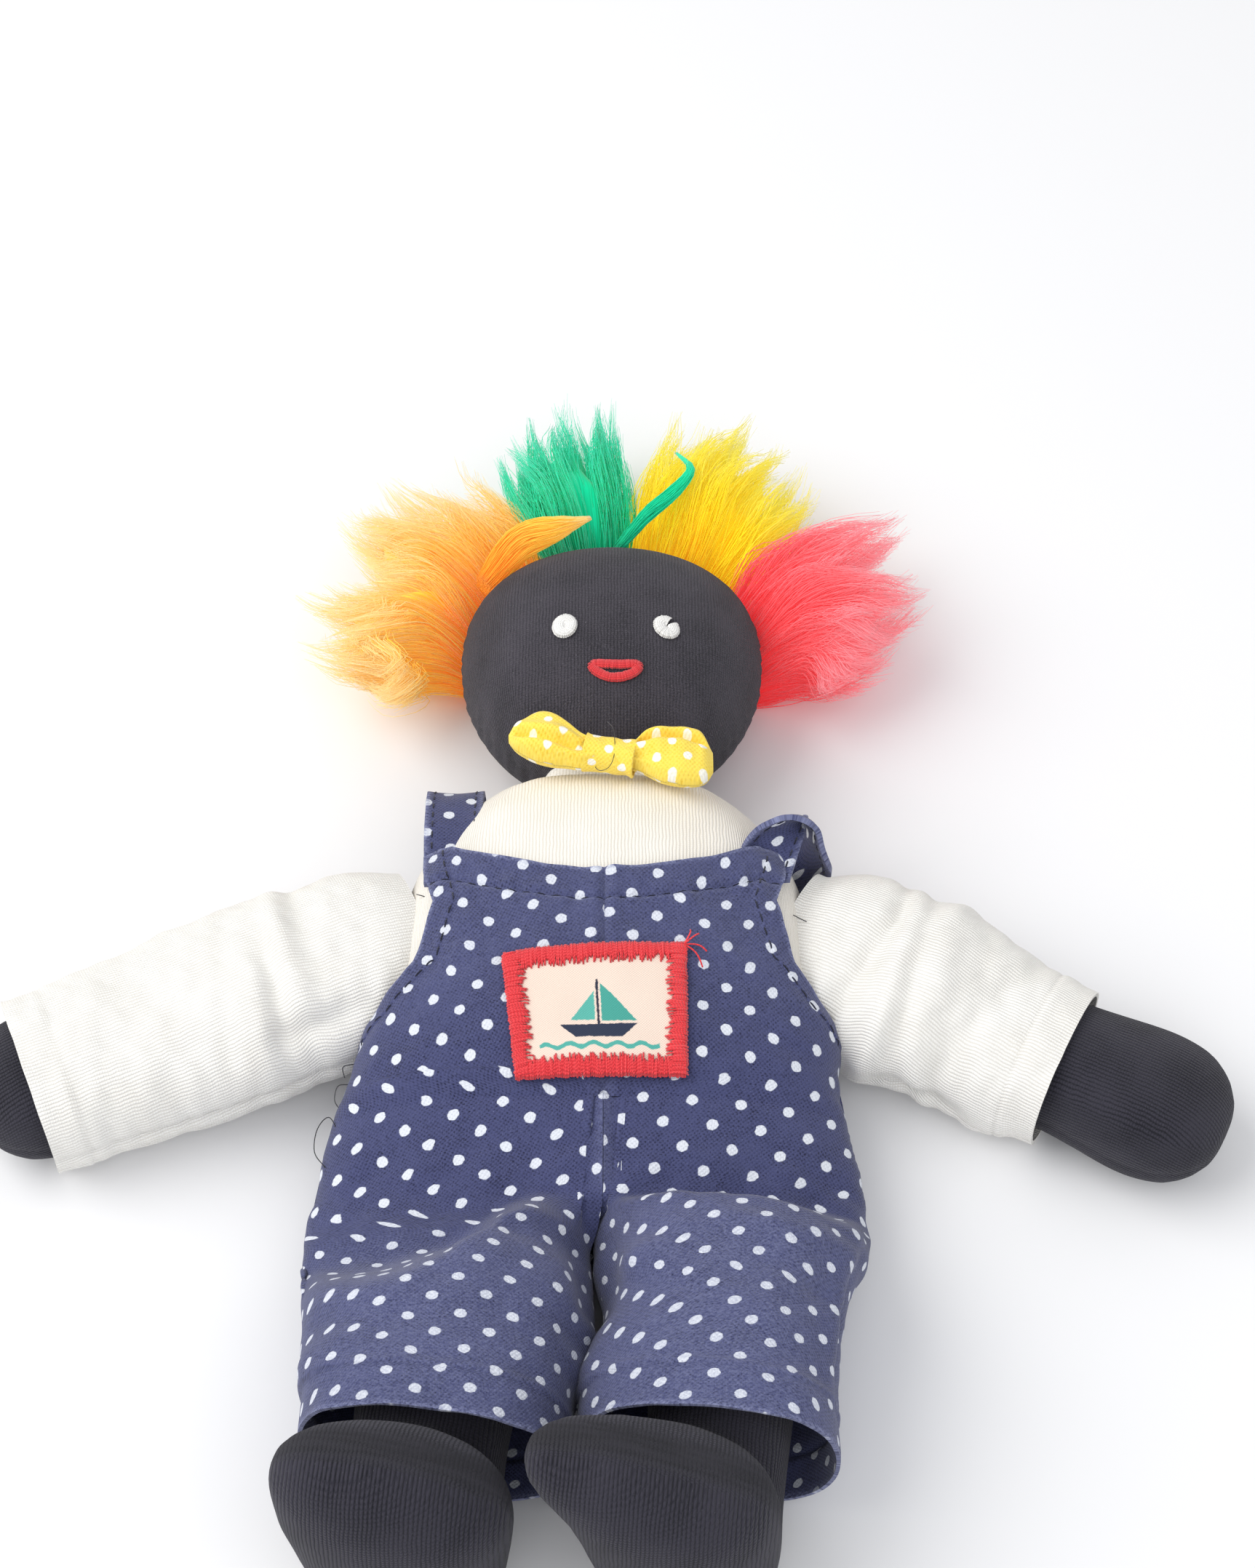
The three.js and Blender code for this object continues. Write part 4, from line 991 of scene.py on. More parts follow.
# Each tuft: from and to which angle it stands, its length, and on which side it has no neighbour
hair_tufts = {
    "orange": (114.0, 192.0, 40.0, 1.0),
    "green": (86.0, 115.0, 46.5, 0.0),
    "yellow": (44.0, 83.0, 47.0, 0.0),
    "red": (-7.0, 44.0, 44.0, -1.0),
}
lock_shares = {
    "orange": [
        (0.0, 0.7), (0.06, 0.84), (0.13, 0.7), (0.22, 1.0), (0.29, 0.8), (0.37, 0.98), (0.43, 0.78),
        (0.5, 0.5), (0.57, 0.74), (0.64, 0.86), (0.7, 0.56), (0.77, 0.8), (0.84, 0.4), (0.92, 0.44),
        (1.0, 0.5),
    ],
    "green": [
        (0.0, 0.84), (0.14, 1.0), (0.28, 0.93), (0.42, 1.0), (0.55, 0.9), (0.66, 0.9), (0.78, 0.8),
        (0.9, 0.72), (1.0, 0.56),
    ],
    "yellow": [
        (0.0, 0.6), (0.1, 0.76), (0.2, 0.72), (0.38, 0.88), (0.5, 0.8), (0.64, 1.0), (0.75, 0.84),
        (0.87, 0.92), (1.0, 0.74),
    ],
    "red": [
        (0.0, 0.22), (0.14, 0.42), (0.26, 0.6), (0.36, 0.66), (0.47, 0.82), (0.57, 0.72), (0.67, 0.62),
        (0.82, 1.0), (0.92, 0.88), (1.0, 0.64),
    ],
}
tuft_shares = [
    (-0.08, 0.86, 0.36, 0.5), (0.1, 0.95, 0.42, 0.78), (0.35, 1.0, 0.56, 1.0), (0.62, 0.97, 0.78, 0.9),
    (0.84, 0.92, 0.92, 0.66), (1.0, 0.88, 0.92, 0.4), (1.2, 0.86, 0.9, 0.26),
]
tuft_half_depth = 13.0
tuft_lift = 0.5
tuft_rise = 12.0
tuft_area_per_lock = 20.0
strands_per_lock = 36
front_lock_density = 130
wool_colours = {
    "orange": ((1.0, 0.30, 0.02), (1.0, 0.57, 0.06), (1.0, 0.76, 0.34)),
    "green": ((0.003, 0.52, 0.25), (0.004, 0.82, 0.43), (0.02, 0.90, 0.58)),
    "yellow": ((1.0, 0.56, 0.01), (1.0, 0.78, 0.015), (1.0, 0.90, 0.09)),
    "red": ((1.0, 0.07, 0.08), (1.0, 0.145, 0.165), (1.0, 0.36, 0.40)),
}
wool_glow = {"orange": 0.2, "green": 0.04, "yellow": 0.16, "red": 0.18}
front_locks = {
    "orange": [((-26.0, 87.0, 25.0), (-19.0, 93.5, 31.0), (-10.5, 96.0, 33.5), (-3.5, 99.5, 33.0)), 3.3],
    "green": [
        (
            (2.0, 98.5, 24.0), (8.0, 104.0, 28.5), (14.5, 110.5, 30.0), (18.0, 117.0, 30.0),
            (15.0, 125.0, 27.0),
        ),
        1.3,
    ],
}


def head_edge(heading):
    """The distance from the head's middle to its edge, seen from above."""
    dx, dy = math.cos(math.radians(heading)), math.sin(math.radians(heading))
    reach = np.linspace(0.0, head_length * 0.62, 300)
    along = 0.5 + dy * reach / head_length
    half = head_half_width * smooth(head_shares, np.clip(along, 0.0, 1.0))[..., 0]
    inside = (along >= 0.0) & (along <= 1.0) & (np.abs(dx * reach) <= half)
    return reach[inside].max()


edge_headings = np.linspace(-40.0, 220.0, 131)
edge_reaches = np.array([head_edge(heading) for heading in edge_headings])


def tuft_point(name, along, across, up):
    """A place in a tuft: how far out it is, and where it is in the tuft's rounded cross-section."""
    low, high, length, outer = hair_tufts[name]
    inner_wide, outer_wide, deep = smooth(tuft_shares, along).T
    wide = np.where(across * outer > 0.0, outer_wide, inner_wide)
    heading = (low + high) / 2.0 + (high - low) / 2.0 * wide * across
    lock = linear(lock_shares[name], np.clip((heading - low) / (high - low), 0.0, 1.0))
    reach = np.interp(heading, edge_headings, edge_reaches) + length * along * lock
    z = tuft_half_depth * deep * (1.0 + up) + tuft_lift + tuft_rise * along**2
    a = np.radians(heading)
    x, y = head_lean + reach * np.cos(a), chin_y + head_length / 2 + reach * np.sin(a)
    return np.stack([x, y, np.maximum(z, 0.4)], axis=-1)


def strand_places(random, ring, shade, t):
    """A number of its own for each strand, with how light it is and how far along each point lies."""
    number = random.uniform(0.0, 500.0)
    return np.column_stack([np.full(len(ring[0]), number), np.repeat(shade, 3), np.repeat(t, 3)])


def clump_strands(random, name, clumps):
    """Locks of fine strands in a tuft. Each lock's strands draw together towards its tip."""
    strands, places = [], []
    for _ in range(clumps):
        turn, far = random.uniform(0.0, 2.0 * math.pi), math.sqrt(random.uniform(0.0, 1.0))
        a0, b0 = 0.98 * far * math.cos(turn), 0.98 * far * math.sin(turn)
        drift = random.normal(0.0, 0.10, 2)
        reach = random.uniform(0.78, 1.1)
        wide = random.uniform(0.09, 0.17)
        curl, bend = random.uniform(0.0, 2.0 * math.pi), random.uniform(1.2, 2.4)
        for _ in range(strands_per_lock):
            t = np.linspace(0.0, 1.0, 13)
            along = -0.06 + (reach * random.uniform(0.78, 1.06) + 0.06) * t
            offset = random.normal(0.0, 1.0, 2) * wide
            draw = 1.0 - 0.8 * t**1.3
            a = a0 + drift[0] * t + offset[0] * draw
            b = b0 + drift[1] * t + offset[1] * draw
            centre = tuft_point(name, along, np.clip(a, -1.1, 1.1), np.clip(b, -1.1, 1.1))
            swing = bend * t * np.sin(curl + 5.6 * t)
            crimp = np.sin(random.uniform(0, 6.28) + t * random.uniform(9.0, 19.0))
            crimp = 0.28 * crimp * np.minimum(t * 4.0, 1.0)
            out = centre[-1, :2] - centre[0, :2]
            out /= max(np.linalg.norm(out), 1e-6)
            centre[:, 0] += -out[1] * (swing + crimp)
            centre[:, 1] += out[0] * (swing + crimp)
            centre[:, 2] = np.maximum(centre[:, 2] + 0.6 * swing + crimp, 0.3)
            ring = strand(centre, random.uniform(0.08, 0.14), 3, 1.0 - 0.75 * t**2)
            strands.append(ring)
            places.append(strand_places(random, ring, t, t))
    return strands, places


def front_lock(random, route, radius, count):
    """A lock that lies over its neighbours: a twisted bundle along a route, pointed at its end."""
    strands, places = [], []
    knots = np.linspace(0.0, 1.0, len(route))
    t = np.linspace(0.0, 1.0, 17)
    middle = smooth(np.column_stack([knots, np.array(route)]), t)
    for _ in range(count):
        turn, far = random.uniform(0.0, 2.0 * math.pi), math.sqrt(random.uniform(0.0, 1.0))
        swell = radius * (0.7 + 0.5 * np.sin(math.pi * np.minimum(t * 1.15, 1.0))) * (1.0 - 0.86 * t**3)
        phase = turn + 1.1 * t
        side = swell * far * np.cos(phase) + 0.2 * np.sin(random.uniform(0, 6.28) + 15.0 * t)
        lift = swell * far * np.sin(phase)
        ahead = np.gradient(middle, axis=0)[:, :2]
        ahead /= np.linalg.norm(ahead, axis=1, keepdims=True)
        line = middle + np.column_stack([-ahead[:, 1] * side, ahead[:, 0] * side, lift])
        ring = strand(line, random.uniform(0.09, 0.15), 3, 1.0 - 0.6 * t**2)
        strands.append(ring)
        places.append(strand_places(random, ring, t * 0.8, t))
    return strands, places


def tuft_core(name, seed):
    """The felted middle of a tuft, which the locks stand out of."""
    rows, columns = 34, 72
    along = np.linspace(-0.04, 0.78, rows)[:, None] + np.zeros((rows, columns))
    angle = np.arange(columns) / columns * 2.0 * math.pi
    lumps = 0.74 + 0.05 * waves(along * 3.0, np.cos(angle)[None] * 1.5 + 0.0 * along, 0.9, seed)
    lumps = lumps * (1.0 - 0.6 * ease(0.4, 0.78, along))
    flat = [v.ravel() for v in (along, lumps * np.cos(angle), lumps * np.sin(angle))]
    return tuft_point(name, *flat).reshape(rows, columns, 3), along


def make_hair():
    for seed, name in enumerate(hair_tufts):
        random = np.random.default_rng(40 + seed)
        low, high, length, _ = hair_tufts[name]
        tones = [colour(*tone) for tone in wool_colours[name]]
        material = wool_paint(f"wool_{name}", *tones, wool_glow[name])
        clumps = int((high - low) * length / tuft_area_per_lock)
        strands, places = clump_strands(random, name, clumps)
        if name in front_locks:
            route, radius = front_locks[name]
            more, at = front_lock(random, route, radius, int(front_lock_density * radius))
            strands += more
            places += at
        core, along = tuft_core(name, 70 + seed)
        rows, columns = core.shape[:2]
        faces = grid_faces(rows, columns, wrap=True)
        faces.append(tuple(range(columns - 1, -1, -1)))
        faces.append(tuple((rows - 1) * columns + k for k in range(columns)))
        strands.append((core.reshape(-1, 3), faces))
        number = np.arange(columns)[None] * 3.7 + 0.0 * along
        places.append(np.stack([number, along * 0.8, along], axis=-1).reshape(-1, 3))
        hair = join_strands(f"hair_{name}_locks", strands, material, places)
        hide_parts(f"hair_{name}")
        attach(hair, "head")


# Dungarees

hip_half_widths = {
    "left": [
        (lap_low_y, 47.6), (-56.0, 47.0), (-48.0, 46.3), (-40.0, 45.0), (-31.6, 43.6),
        (side_seam_top, 42.6),
    ],
    "right": [
        (lap_low_y, 53.6), (-56.0, 52.8), (-48.0, 51.8), (-40.0, 50.4), (-31.6, 48.2),
        (side_seam_top, 45.8),
    ],
}
fold_shares = [
    (lap_low_y, 0.9), (-57.0, 0.905), (-51.5, 0.935), (-46.7, 0.965), (upper_hem, 1.0), (-34.0, 1.0),
    (-20.0, 1.0),
]
bib_edge_degrees = [
    (lap_low_y, 0.0), (side_seam_top, 0.0), (-20.0, 18.0), (back_top, 37.0), (0.0, 43.0), (bib_top, 33.0),
]
back_edge_degrees = [(lap_low_y, 0.0), (side_seam_top, 0.0), (-20.0, 12.0), (back_top, 34.0)]
# How far the grain of each bib and of the back is turned, in degrees
bib_turn = {"left": 2.0, "right": 13.5}
back_turn = 4.0


def body_half_width(side, y):
    snug = torso_size(y)[0] + cloth_ease
    wide = linear(hip_half_widths[side] + [(back_top, 42.6), (bib_top, 0.0)], y)
    return np.maximum(snug, wide)


def body_point(side, y, angle):
    """A point of the dungarees round the body. A quarter turn is the middle of the front."""
    y = np.asarray(y, float)
    angle = np.asarray(angle, float)
    held = np.maximum(y, upper_hem)
    _, half_depth, middle = torso_size(held)
    half_depth = half_depth + cloth_ease
    share = smooth(fold_shares, y)[..., 0]
    across, up = rounded(body_half_width(side, y), half_depth, angle)
    front = np.sqrt(np.maximum(np.sin(angle), 0.0))
    z = middle + up + (middle + half_depth) * (share - 1.0) * front
    return np.stack([across, y + 0.0 * across, np.maximum(z, cloth_thickness / 2)], axis=-1)


trouser_columns = 151
half_columns = trouser_columns // 2 + 1
lap_s = hip_place[1] - upper_hem


def front_grid(side, sign, rows=110):
    t = np.linspace(0.0, 1.0, rows)
    level = mix(upper_hem, bib_top, t)
    edge = np.radians(linear(bib_edge_degrees, level))
    even = mix(math.pi / 2, edge[:, None], np.linspace(0.0, 1.0, half_columns)[None])
    lap = body_angles(side, sign, np.array([lap_s]))[:, :half_columns]
    angle = mix(lap, even, ease(0.0, 0.3, t)[:, None])
    across = body_half_width(side, level)[:, None] * np.cos(angle) ** (2.0 / body_roundness)
    sag = bib_sag * np.maximum(1.0 - (across / strap_x) ** 2, 0.0) * t[:, None]
    points = body_point(side, level[:, None] - sag, angle)
    points[..., 0] *= sign
    return points, t


def front_surface(side, sign):
    """The front of the dungarees with its hems, seam and creases, the wear of the cloth and painted
    light.
    """
    points, t = front_grid(side, sign)
    normals = grid_normals(points) * sign
    x, y = points[..., 0], points[..., 1]
    steps = np.linalg.norm(np.diff(points, axis=1), axis=-1)
    inward = np.cumsum(steps[:, ::-1], axis=1)[:, ::-1]
    from_edge = np.concatenate([inward, np.zeros((len(t), 1))], axis=1)
    from_top = (1.0 - t[:, None]) * (bib_top - upper_hem) + 0.0 * x
    ripple = 0.30 * waves(x, y, 17.0, 11) + 0.16 * waves(x, y, 7.0, 12)
    pucker = 0.22 * np.sin(x * 1.35 + waves(x, y, 12.0, 14)) * bump(from_top, hem_width, 3.0)
    seam = -0.75 * bump(x, 0.0, 0.7) + 0.3 * bump(np.abs(x), 1.8, 1.1)
    hem = 0.45 * ease(hem_width + 0.4, hem_width - 0.3, from_top)
    edge = 0.35 * ease(armhole_hem + 0.4, armhole_hem - 0.3, from_edge) * (y > side_seam_top)
    pulled = bump(y, -31.0, 6.0) * bump(np.abs(x), 9.0, 12.0)
    drag = 0.45 * np.sin((y + 0.35 * np.abs(x)) * 0.55) * pulled
    groove = -0.55 * bump(from_top, hem_width, 0.5)
    joined = ease(0.0, 0.12, t)[:, None]
    amount = (ripple + pucker + hem + edge + drag + groove) * joined + seam
    points = points + normals * amount[..., None]
    worn_edge = bump(from_edge, 0.0, 0.7) * (y > side_seam_top)
    worn_hem = np.maximum(bump(from_top, 0.0, 0.8), 0.5 * bump(from_top, hem_width + 0.5, 0.6))
    # Painted light: the bib is painted paler towards its top
    painted_light = 0.17 * ease(-34.0, -12.0, y)
    wear_and_light = np.maximum.reduce([worn_edge, worn_hem, 0.35 * bump(x, 0.0, 1.6), painted_light])
    return points, normals, from_edge, from_top, wear_and_light


def make_front(side, sign):
    points, normals, from_edge, from_top, wear_and_light = front_surface(side, sign)
    places = flat_places(points, bib_turn[side])
    below = trouser_surface(side, sign)[0][1:2, :half_columns]
    facing = grid_normals(np.concatenate([below, points]))[1:]
    piece = cloth_piece(f"bib_front_{side}", points, navy_cotton, places, wear_and_light, normals=facing)
    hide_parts(f"bib_{side}")
    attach(piece, "torso")
    row = int(np.argmin(np.abs(from_top[:, 0] - hem_width)))
    stitch_line(f"bib_hem_stitches_{side}", points[row], normals[row], 0.5)
    line, normal = [], []
    level = mix(upper_hem, bib_top, np.linspace(0.0, 1.0, len(points)))
    for i in np.nonzero(level > side_seam_top - 1.0)[0]:
        k = int(np.argmin(np.abs(from_edge[i] - armhole_hem)))
        line.append(points[i, k])
        normal.append(normals[i, k])
    stitch_line(f"armhole_stitches_{side}", np.array(line), np.array(normal), 0.55)


def back_grid(side, sign, rows=56):
    """The back of the dungarees. Columns run from the side to the middle."""
    t = np.linspace(0.0, 1.0, rows)
    level = mix(upper_hem, back_top, t)
    edge = -np.radians(linear(back_edge_degrees, level))
    even = mix(edge[:, None], -math.pi / 2, np.linspace(0.0, 1.0, half_columns)[None])
    lap = body_angles(side, sign, np.array([lap_s]))[:, half_columns - 1 :]
    points = body_point(side, level[:, None], mix(lap, even, ease(0.0, 0.3, t)[:, None]))
    points[..., 0] *= sign
    return points


def make_back(side, sign):
    points = back_grid(side, sign)
    below = trouser_surface(side, sign)[0][1:2, half_columns - 1 :]
    facing = grid_normals(np.concatenate([below, points]))[1:]
    places = flat_places(points, back_turn)
    piece = cloth_piece(f"back_panel_{side}", points, navy_cotton, places, normals=facing)
    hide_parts(f"back_{side}")
    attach(piece, "torso")


leg_cut = 13.0
trouser_top = 9.0
trouser_gather = 0.34
# Along each leg: its half width on the outer side, and its half depth as a share
trouser_outlines = {
    "left": [
        (trouser_top, 24.0, 0.87), (14.0, 23.4, 0.92), (20.0, 21.0, 0.96), (30.0, 19.4, 0.99),
        (42.0, 19.8, 0.97), (trouser_reach, 21.0, 0.96),
    ],
    "right": [
        (trouser_top, 28.2, 0.87), (14.0, 27.8, 0.92), (22.0, 26.0, 0.96), (32.0, 24.3, 0.99),
        (45.0, 22.3, 0.97), (trouser_reach, 21.8, 0.96),
    ],
}
# Along the legs: the middle of the gap between them, and half its width at the top
gap_line = [
    (trouser_top, -1.4, 1.0), (14.0, -2.2, 2.6), (21.0, -1.5, 3.3), (29.0, -0.4, 1.9), (36.6, -2.5, 0.8),
    (42.0, -4.4, 0.4), (trouser_reach, -5.0, 0.7),
]
closed_gap = 0.2
# How much painted light, as paler cloth, lies on the top of each trouser leg
trouser_painted_light = {"left": 0.46, "right": 0.42}


def leg_half_sizes(side, sign, s):
    """The half widths of a trouser leg outside and inside, half the gap, and its half depth."""
    s = np.clip(s, trouser_top, trouser_reach)
    outer, deep = smooth(trouser_outlines[side], s).T
    gap, half_gap = smooth(gap_line, s).T
    axis_x = sign * hip_place[0] - math.sin(math.radians(leg_drift)) * s
    return outer, sign * (axis_x - gap), half_gap, trouser_half_depth * deep


def leg_ring(side, sign, s, turn):
    """A ring of a trouser leg at s along it. turn runs from the inside of the leg over its front."""
    outer, inner, half_gap, half_depth = (size[:, None] for size in leg_half_sizes(side, sign, s[:, 0]))
    gap = mix(closed_gap, half_gap, ease(-0.1, 0.35, np.sin(turn)))
    middle = trouser_middle - (trouser_half_depth - half_depth) * 0.6
    half_width = np.where(np.cos(turn) > 0.0, outer, inner - gap)
    across, up = rounded(half_width, half_depth, turn)
    return across, middle + up


def leg_points(side, sign, s):
    """The rings of a trouser leg. Columns run from its inside over its front and round the outside."""
    turn = math.pi * (1.0 - 2.0 * np.linspace(0.0, 1.0, trouser_columns)[None]) + 0.0 * s[:, None]
    across, z = leg_ring(side, sign, s[:, None] + 0.0 * turn, turn)
    leg = np.stack([s[:, None] + 0.0 * turn, across * sign, z], axis=-1)
    return turned(leg, -90.0 - leg_drift, (sign * hip_place[0], hip_place[1]))


def body_angles(side, sign, s):
    """Where the columns of the leg lie round the body, so that the cloth runs straight down into it."""
    share = np.linspace(0.0, 1.0, trouser_columns)[None]
    level = np.maximum(hip_place[1] - s, lap_low_y)[:, None]
    x_share = np.clip(sign * leg_points(side, sign, s)[..., 0] / body_half_width(side, level), 0.0, 1.0)
    angle = np.arccos(x_share ** (body_roundness / 2.0)) * np.where(share > 0.5, -1.0, 1.0)
    edges = ease(0.0, 0.06, share) * ease(1.0, 0.94, share)
    return mix(math.pi / 2 - math.pi * share, angle, edges)


def trouser_grid(side, sign, s):
    """The cloth from the lap down one leg. Columns run from the front middle round the outside."""
    level = (hip_place[1] - s)[:, None]
    body = body_point(side, np.maximum(level, lap_low_y), body_angles(side, sign, s))
    body[..., 0] *= sign
    body[..., 1] = level
    place, spread = wall_place(side, np.linspace(0.0, 1.0, trouser_columns)[None])
    t = ease(place - spread / 2.0, place + spread / 2.0, s[:, None])[..., None]
    return body * (1.0 - t) + leg_points(side, sign, s) * t


def wall_place(side, share):
    """Where the cloth rises from the lap to the leg, and over what length."""
    sagging = ease(0.15, 0.31, share) * ease(0.56, 0.46, share) if side == "right" else 0.0 * share
    place = mix(9.6, 25.0, sagging) + 2.4 * ease(0.2, 0.5, share) * (side == "left")
    spread = mix(7.0, 17.0, sagging)
    back = ease(0.5, 0.66, share) * ease(1.0, 0.88, share)
    return mix(place, 12.0, back), mix(spread, 22.0, back)


# Each fold: how far along and how far round it is, its length and width, and its height as a share
trouser_folds = {
    "right": [
        (0.10, 0.20, 0.07, 0.10, 0.35), (0.26, 0.10, 0.10, 0.05, -0.35), (0.60, 0.30, 0.10, 0.16, 0.35),
        (0.50, 0.08, 0.07, 0.06, 0.4), (0.75, 0.42, 0.10, 0.05, -0.4), (0.86, 0.22, 0.07, 0.12, -0.25),
    ],
    "left": [
        (0.14, 0.34, 0.06, 0.12, -0.35), (0.30, 0.12, 0.09, 0.05, -0.6), (0.46, 0.26, 0.14, 0.12, 0.3),
        (0.35, 0.42, 0.3, 0.025, -0.6), (0.45, 0.46, 0.3, 0.02, 0.5), (0.72, 0.12, 0.12, 0.06, 0.35),
        (0.86, 0.3, 0.06, 0.12, -0.25),
    ],
}
fold_height = 3.0


def trouser_surface(side, sign):
    """The cloth from the lap down one leg with its folds, hem and seam, the wear of the cloth and painted
    light.
    """
    s = np.linspace(lap_s, trouser_reach, 134)
    points = trouser_grid(side, sign, s)
    normals = grid_normals(points) * sign
    share = np.linspace(0.0, 1.0, trouser_columns)[None]
    along = ((s - leg_cut) / (trouser_reach - leg_cut))[:, None]
    amount = np.zeros(points.shape[:2])
    for place, around, length, width, height in trouser_folds[side]:
        amount += fold_height * height * bump(along, place, length) * bump(share, around, width)
    x, y = points[..., 0], points[..., 1]
    settle = ease(lap_s, 0.0, s)[:, None]
    amount += settle * (0.28 * waves(x, y, 15.0, 21) + 0.14 * waves(x, y, 6.0, 22))
    under = np.sin(math.pi * np.clip((share - 0.55) / 0.45, 0.0, 1.0))
    amount *= 1.0 - 0.85 * under
    from_hem = (trouser_reach - s)[:, None]
    amount = amount + 0.35 * ease(hem_width, hem_width - 0.8, from_hem)
    amount = amount - 0.3 * bump(from_hem, hem_width - 0.1, 0.5)
    middle_seam = ease(8.0, 2.0, s)[:, None] * (share < 0.5)
    amount = amount + middle_seam * (-0.75 * bump(x, 0.0, 0.7) + 0.3 * bump(np.abs(x), 1.8, 1.1))
    points = points + normals * amount[..., None]
    points[..., 2] = np.maximum(points[..., 2], cloth_thickness / 2)
    # Painted light: the tops of the legs are painted paler below the lap
    painted_light = trouser_painted_light[side] * bump(share, 0.25, 0.24) * ease(4.0, 20.0, s)[:, None]
    worn_hem = bump(from_hem, 0.0, 0.9) + 0.0 * share
    wear_and_light = np.maximum.reduce([worn_hem, 0.35 * bump(x, 0.0, 1.6) * middle_seam, painted_light])
    return points, s, wear_and_light


def make_trousers(side, sign):
    points, s, wear_and_light = trouser_surface(side, sign)
    above = np.concatenate([front_surface(side, sign)[0][1:2], back_grid(side, sign)[1:2, 1:]], axis=1)
    facing = grid_normals(np.concatenate([above, points]))[1:]
    cut = int(np.searchsorted(s, leg_cut))
    gather = 1.0 + trouser_gather * ease(2.0, 15.0, s)
    places = flat_places(points, bib_turn[side], down=True, gather=gather)
    parts = (
        (f"hip_wrap_{side}", slice(0, cut), f"hip_fold_{side}", ("torso", f"hip_{side}")),
        (f"trouser_{side}", slice(cut - 1, None), f"trouser_leg_{side}", (f"hip_{side}", f"leg_{side}")),
    )
    for name, rows, node, bodies in parts:
        piece = cloth_piece(
            name, points[rows], navy_cotton, places[rows], wear_and_light[rows], normals=facing[rows]
        )
        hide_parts(node)
        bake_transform(piece)


# Sleeves

sleeve_top_shares = [(-0.1, 0.70, 0.72), (0.0, 0.85, 0.85), (0.15, 0.97, 0.95), (0.35, 1.0, 1.0)]
sleeve_shares = {
    "left": sleeve_top_shares + [(0.7, 0.88, 0.92), (1.0, 0.76, 0.88)],
    "right": sleeve_top_shares + [(0.7, 0.93, 0.96), (1.0, 0.86, 0.93)],
}
sleeve_folds = {
    "left": [
        (0.14, 0.5, 0.05, 0.4, -0.8), (0.27, 0.46, 0.06, 0.24, 1.25), (0.41, 0.44, 0.06, 0.3, -0.9),
        (0.56, 0.36, 0.07, 0.2, 0.8), (0.50, 0.62, 0.05, 0.1, 0.5), (0.70, 0.5, 0.06, 0.4, -0.4),
        (0.60, 0.22, 0.2, 0.03, -1.1), (0.84, 0.2, 0.12, 0.05, 0.6),
    ],
    "right": [
        (0.16, 0.6, 0.05, 0.2, -0.45), (0.24, 0.52, 0.04, 0.12, 0.6), (0.31, 0.46, 0.035, 0.1, -0.7),
        (0.38, 0.42, 0.05, 0.12, 0.4), (0.22, 0.36, 0.12, 0.03, -0.7), (0.45, 0.34, 0.06, 0.12, 0.3),
        (0.62, 0.56, 0.2, 0.08, -0.3), (0.55, 0.245, 0.5, 0.012, -0.45),
    ],
}
fold_slant = {"left": 0.10, "right": 0.05}
sleeve_fold_height = 2.5
sleeve_cap_rows = 20


def sleeve_surface(side, sign):
    """A sleeve along +X with its folds, cuff and seam. Columns run round it from below."""
    reach = sleeve_reach[side]
    cap = np.linspace(sleeve_start, armhole_reach, sleeve_cap_rows)
    s = np.concatenate([cap, np.linspace(armhole_reach, reach, 84)[1:]])
    share = np.linspace(0.0, 1.0, 156)[None]
    shares = smooth(sleeve_shares[side], (s / reach)[:, None] + 0.0 * share)
    half_width, half_depth = sleeve_half_width * shares[..., 0], sleeve_half_depth * shares[..., 1]
    angle = -math.pi / 2 - 2.0 * math.pi * share
    across, up = rounded(half_width, half_depth, angle, sleeve_roundness)
    resting = half_depth - jersey_thickness / 2
    settled = np.clip(s / (arm_length * 0.5), 0.0, 1.0)[:, None]
    middle = mix(np.maximum(shoulder_place[2], resting), resting, settled)
    points = np.stack([s[:, None] + 0.0 * share, across * sign, middle + up], axis=-1)
    normals = grid_normals(points) * -sign
    amount = np.zeros(points.shape[:2])
    for place, around, length, width, height in sleeve_folds[side]:
        slant = fold_slant[side] * np.sin(2.0 * math.pi * share + place * 9.0)
        along = bump((s / reach)[:, None] + slant, place, length)
        amount += sleeve_fold_height * height * along * bump(share, around, width)
    along = points[..., 0]
    amount += 0.26 * waves(along, across, 13.0, 31) + 0.12 * waves(along, across, 5.0, 32)
    amount *= ease(sleeve_start, armhole_reach, s)[:, None]
    from_cuff = (reach - s)[:, None]
    amount = amount + 0.3 * ease(cuff_width, cuff_width - 0.8, from_cuff)
    amount = amount - 0.2 * bump(from_cuff, cuff_width - 0.1, 0.5)
    seam = ease(armhole_reach, 2.0 * armhole_reach, s)[:, None]
    amount = amount - 0.35 * bump(share, 0.2, 0.006) * seam
    return points + normals * amount[..., None]


def make_sleeve(side, sign):
    heading = arm_heading(side, sign)
    origin = (sign * shoulder_place[0], shoulder_place[1])
    points = sleeve_surface(side, sign)
    places = flat_places(points, 0.0, points.shape[1] // 2)
    points = turned(points, heading, origin)
    points[..., 2] = np.maximum(points[..., 2], jersey_thickness / 2)
    facing = grid_normals(points)
    cap, tube = slice(0, sleeve_cap_rows), slice(sleeve_cap_rows - 1, None)
    parts = (
        (f"armhole_{side}", cap, f"sleeve_cap_{side}", ("torso", f"shoulder_{side}")),
        (f"shirt_sleeve_{side}", tube, f"sleeve_{side}", (f"shoulder_{side}", f"arm_{side}")),
    )
    for name, rows, node, bodies in parts:
        piece = cloth_piece(
            name, points[rows], sleeve_knit, places[rows],
            thickness=jersey_thickness, normals=facing[rows],
        )
        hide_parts(node)
        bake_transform(piece)


# Straps, label and bow

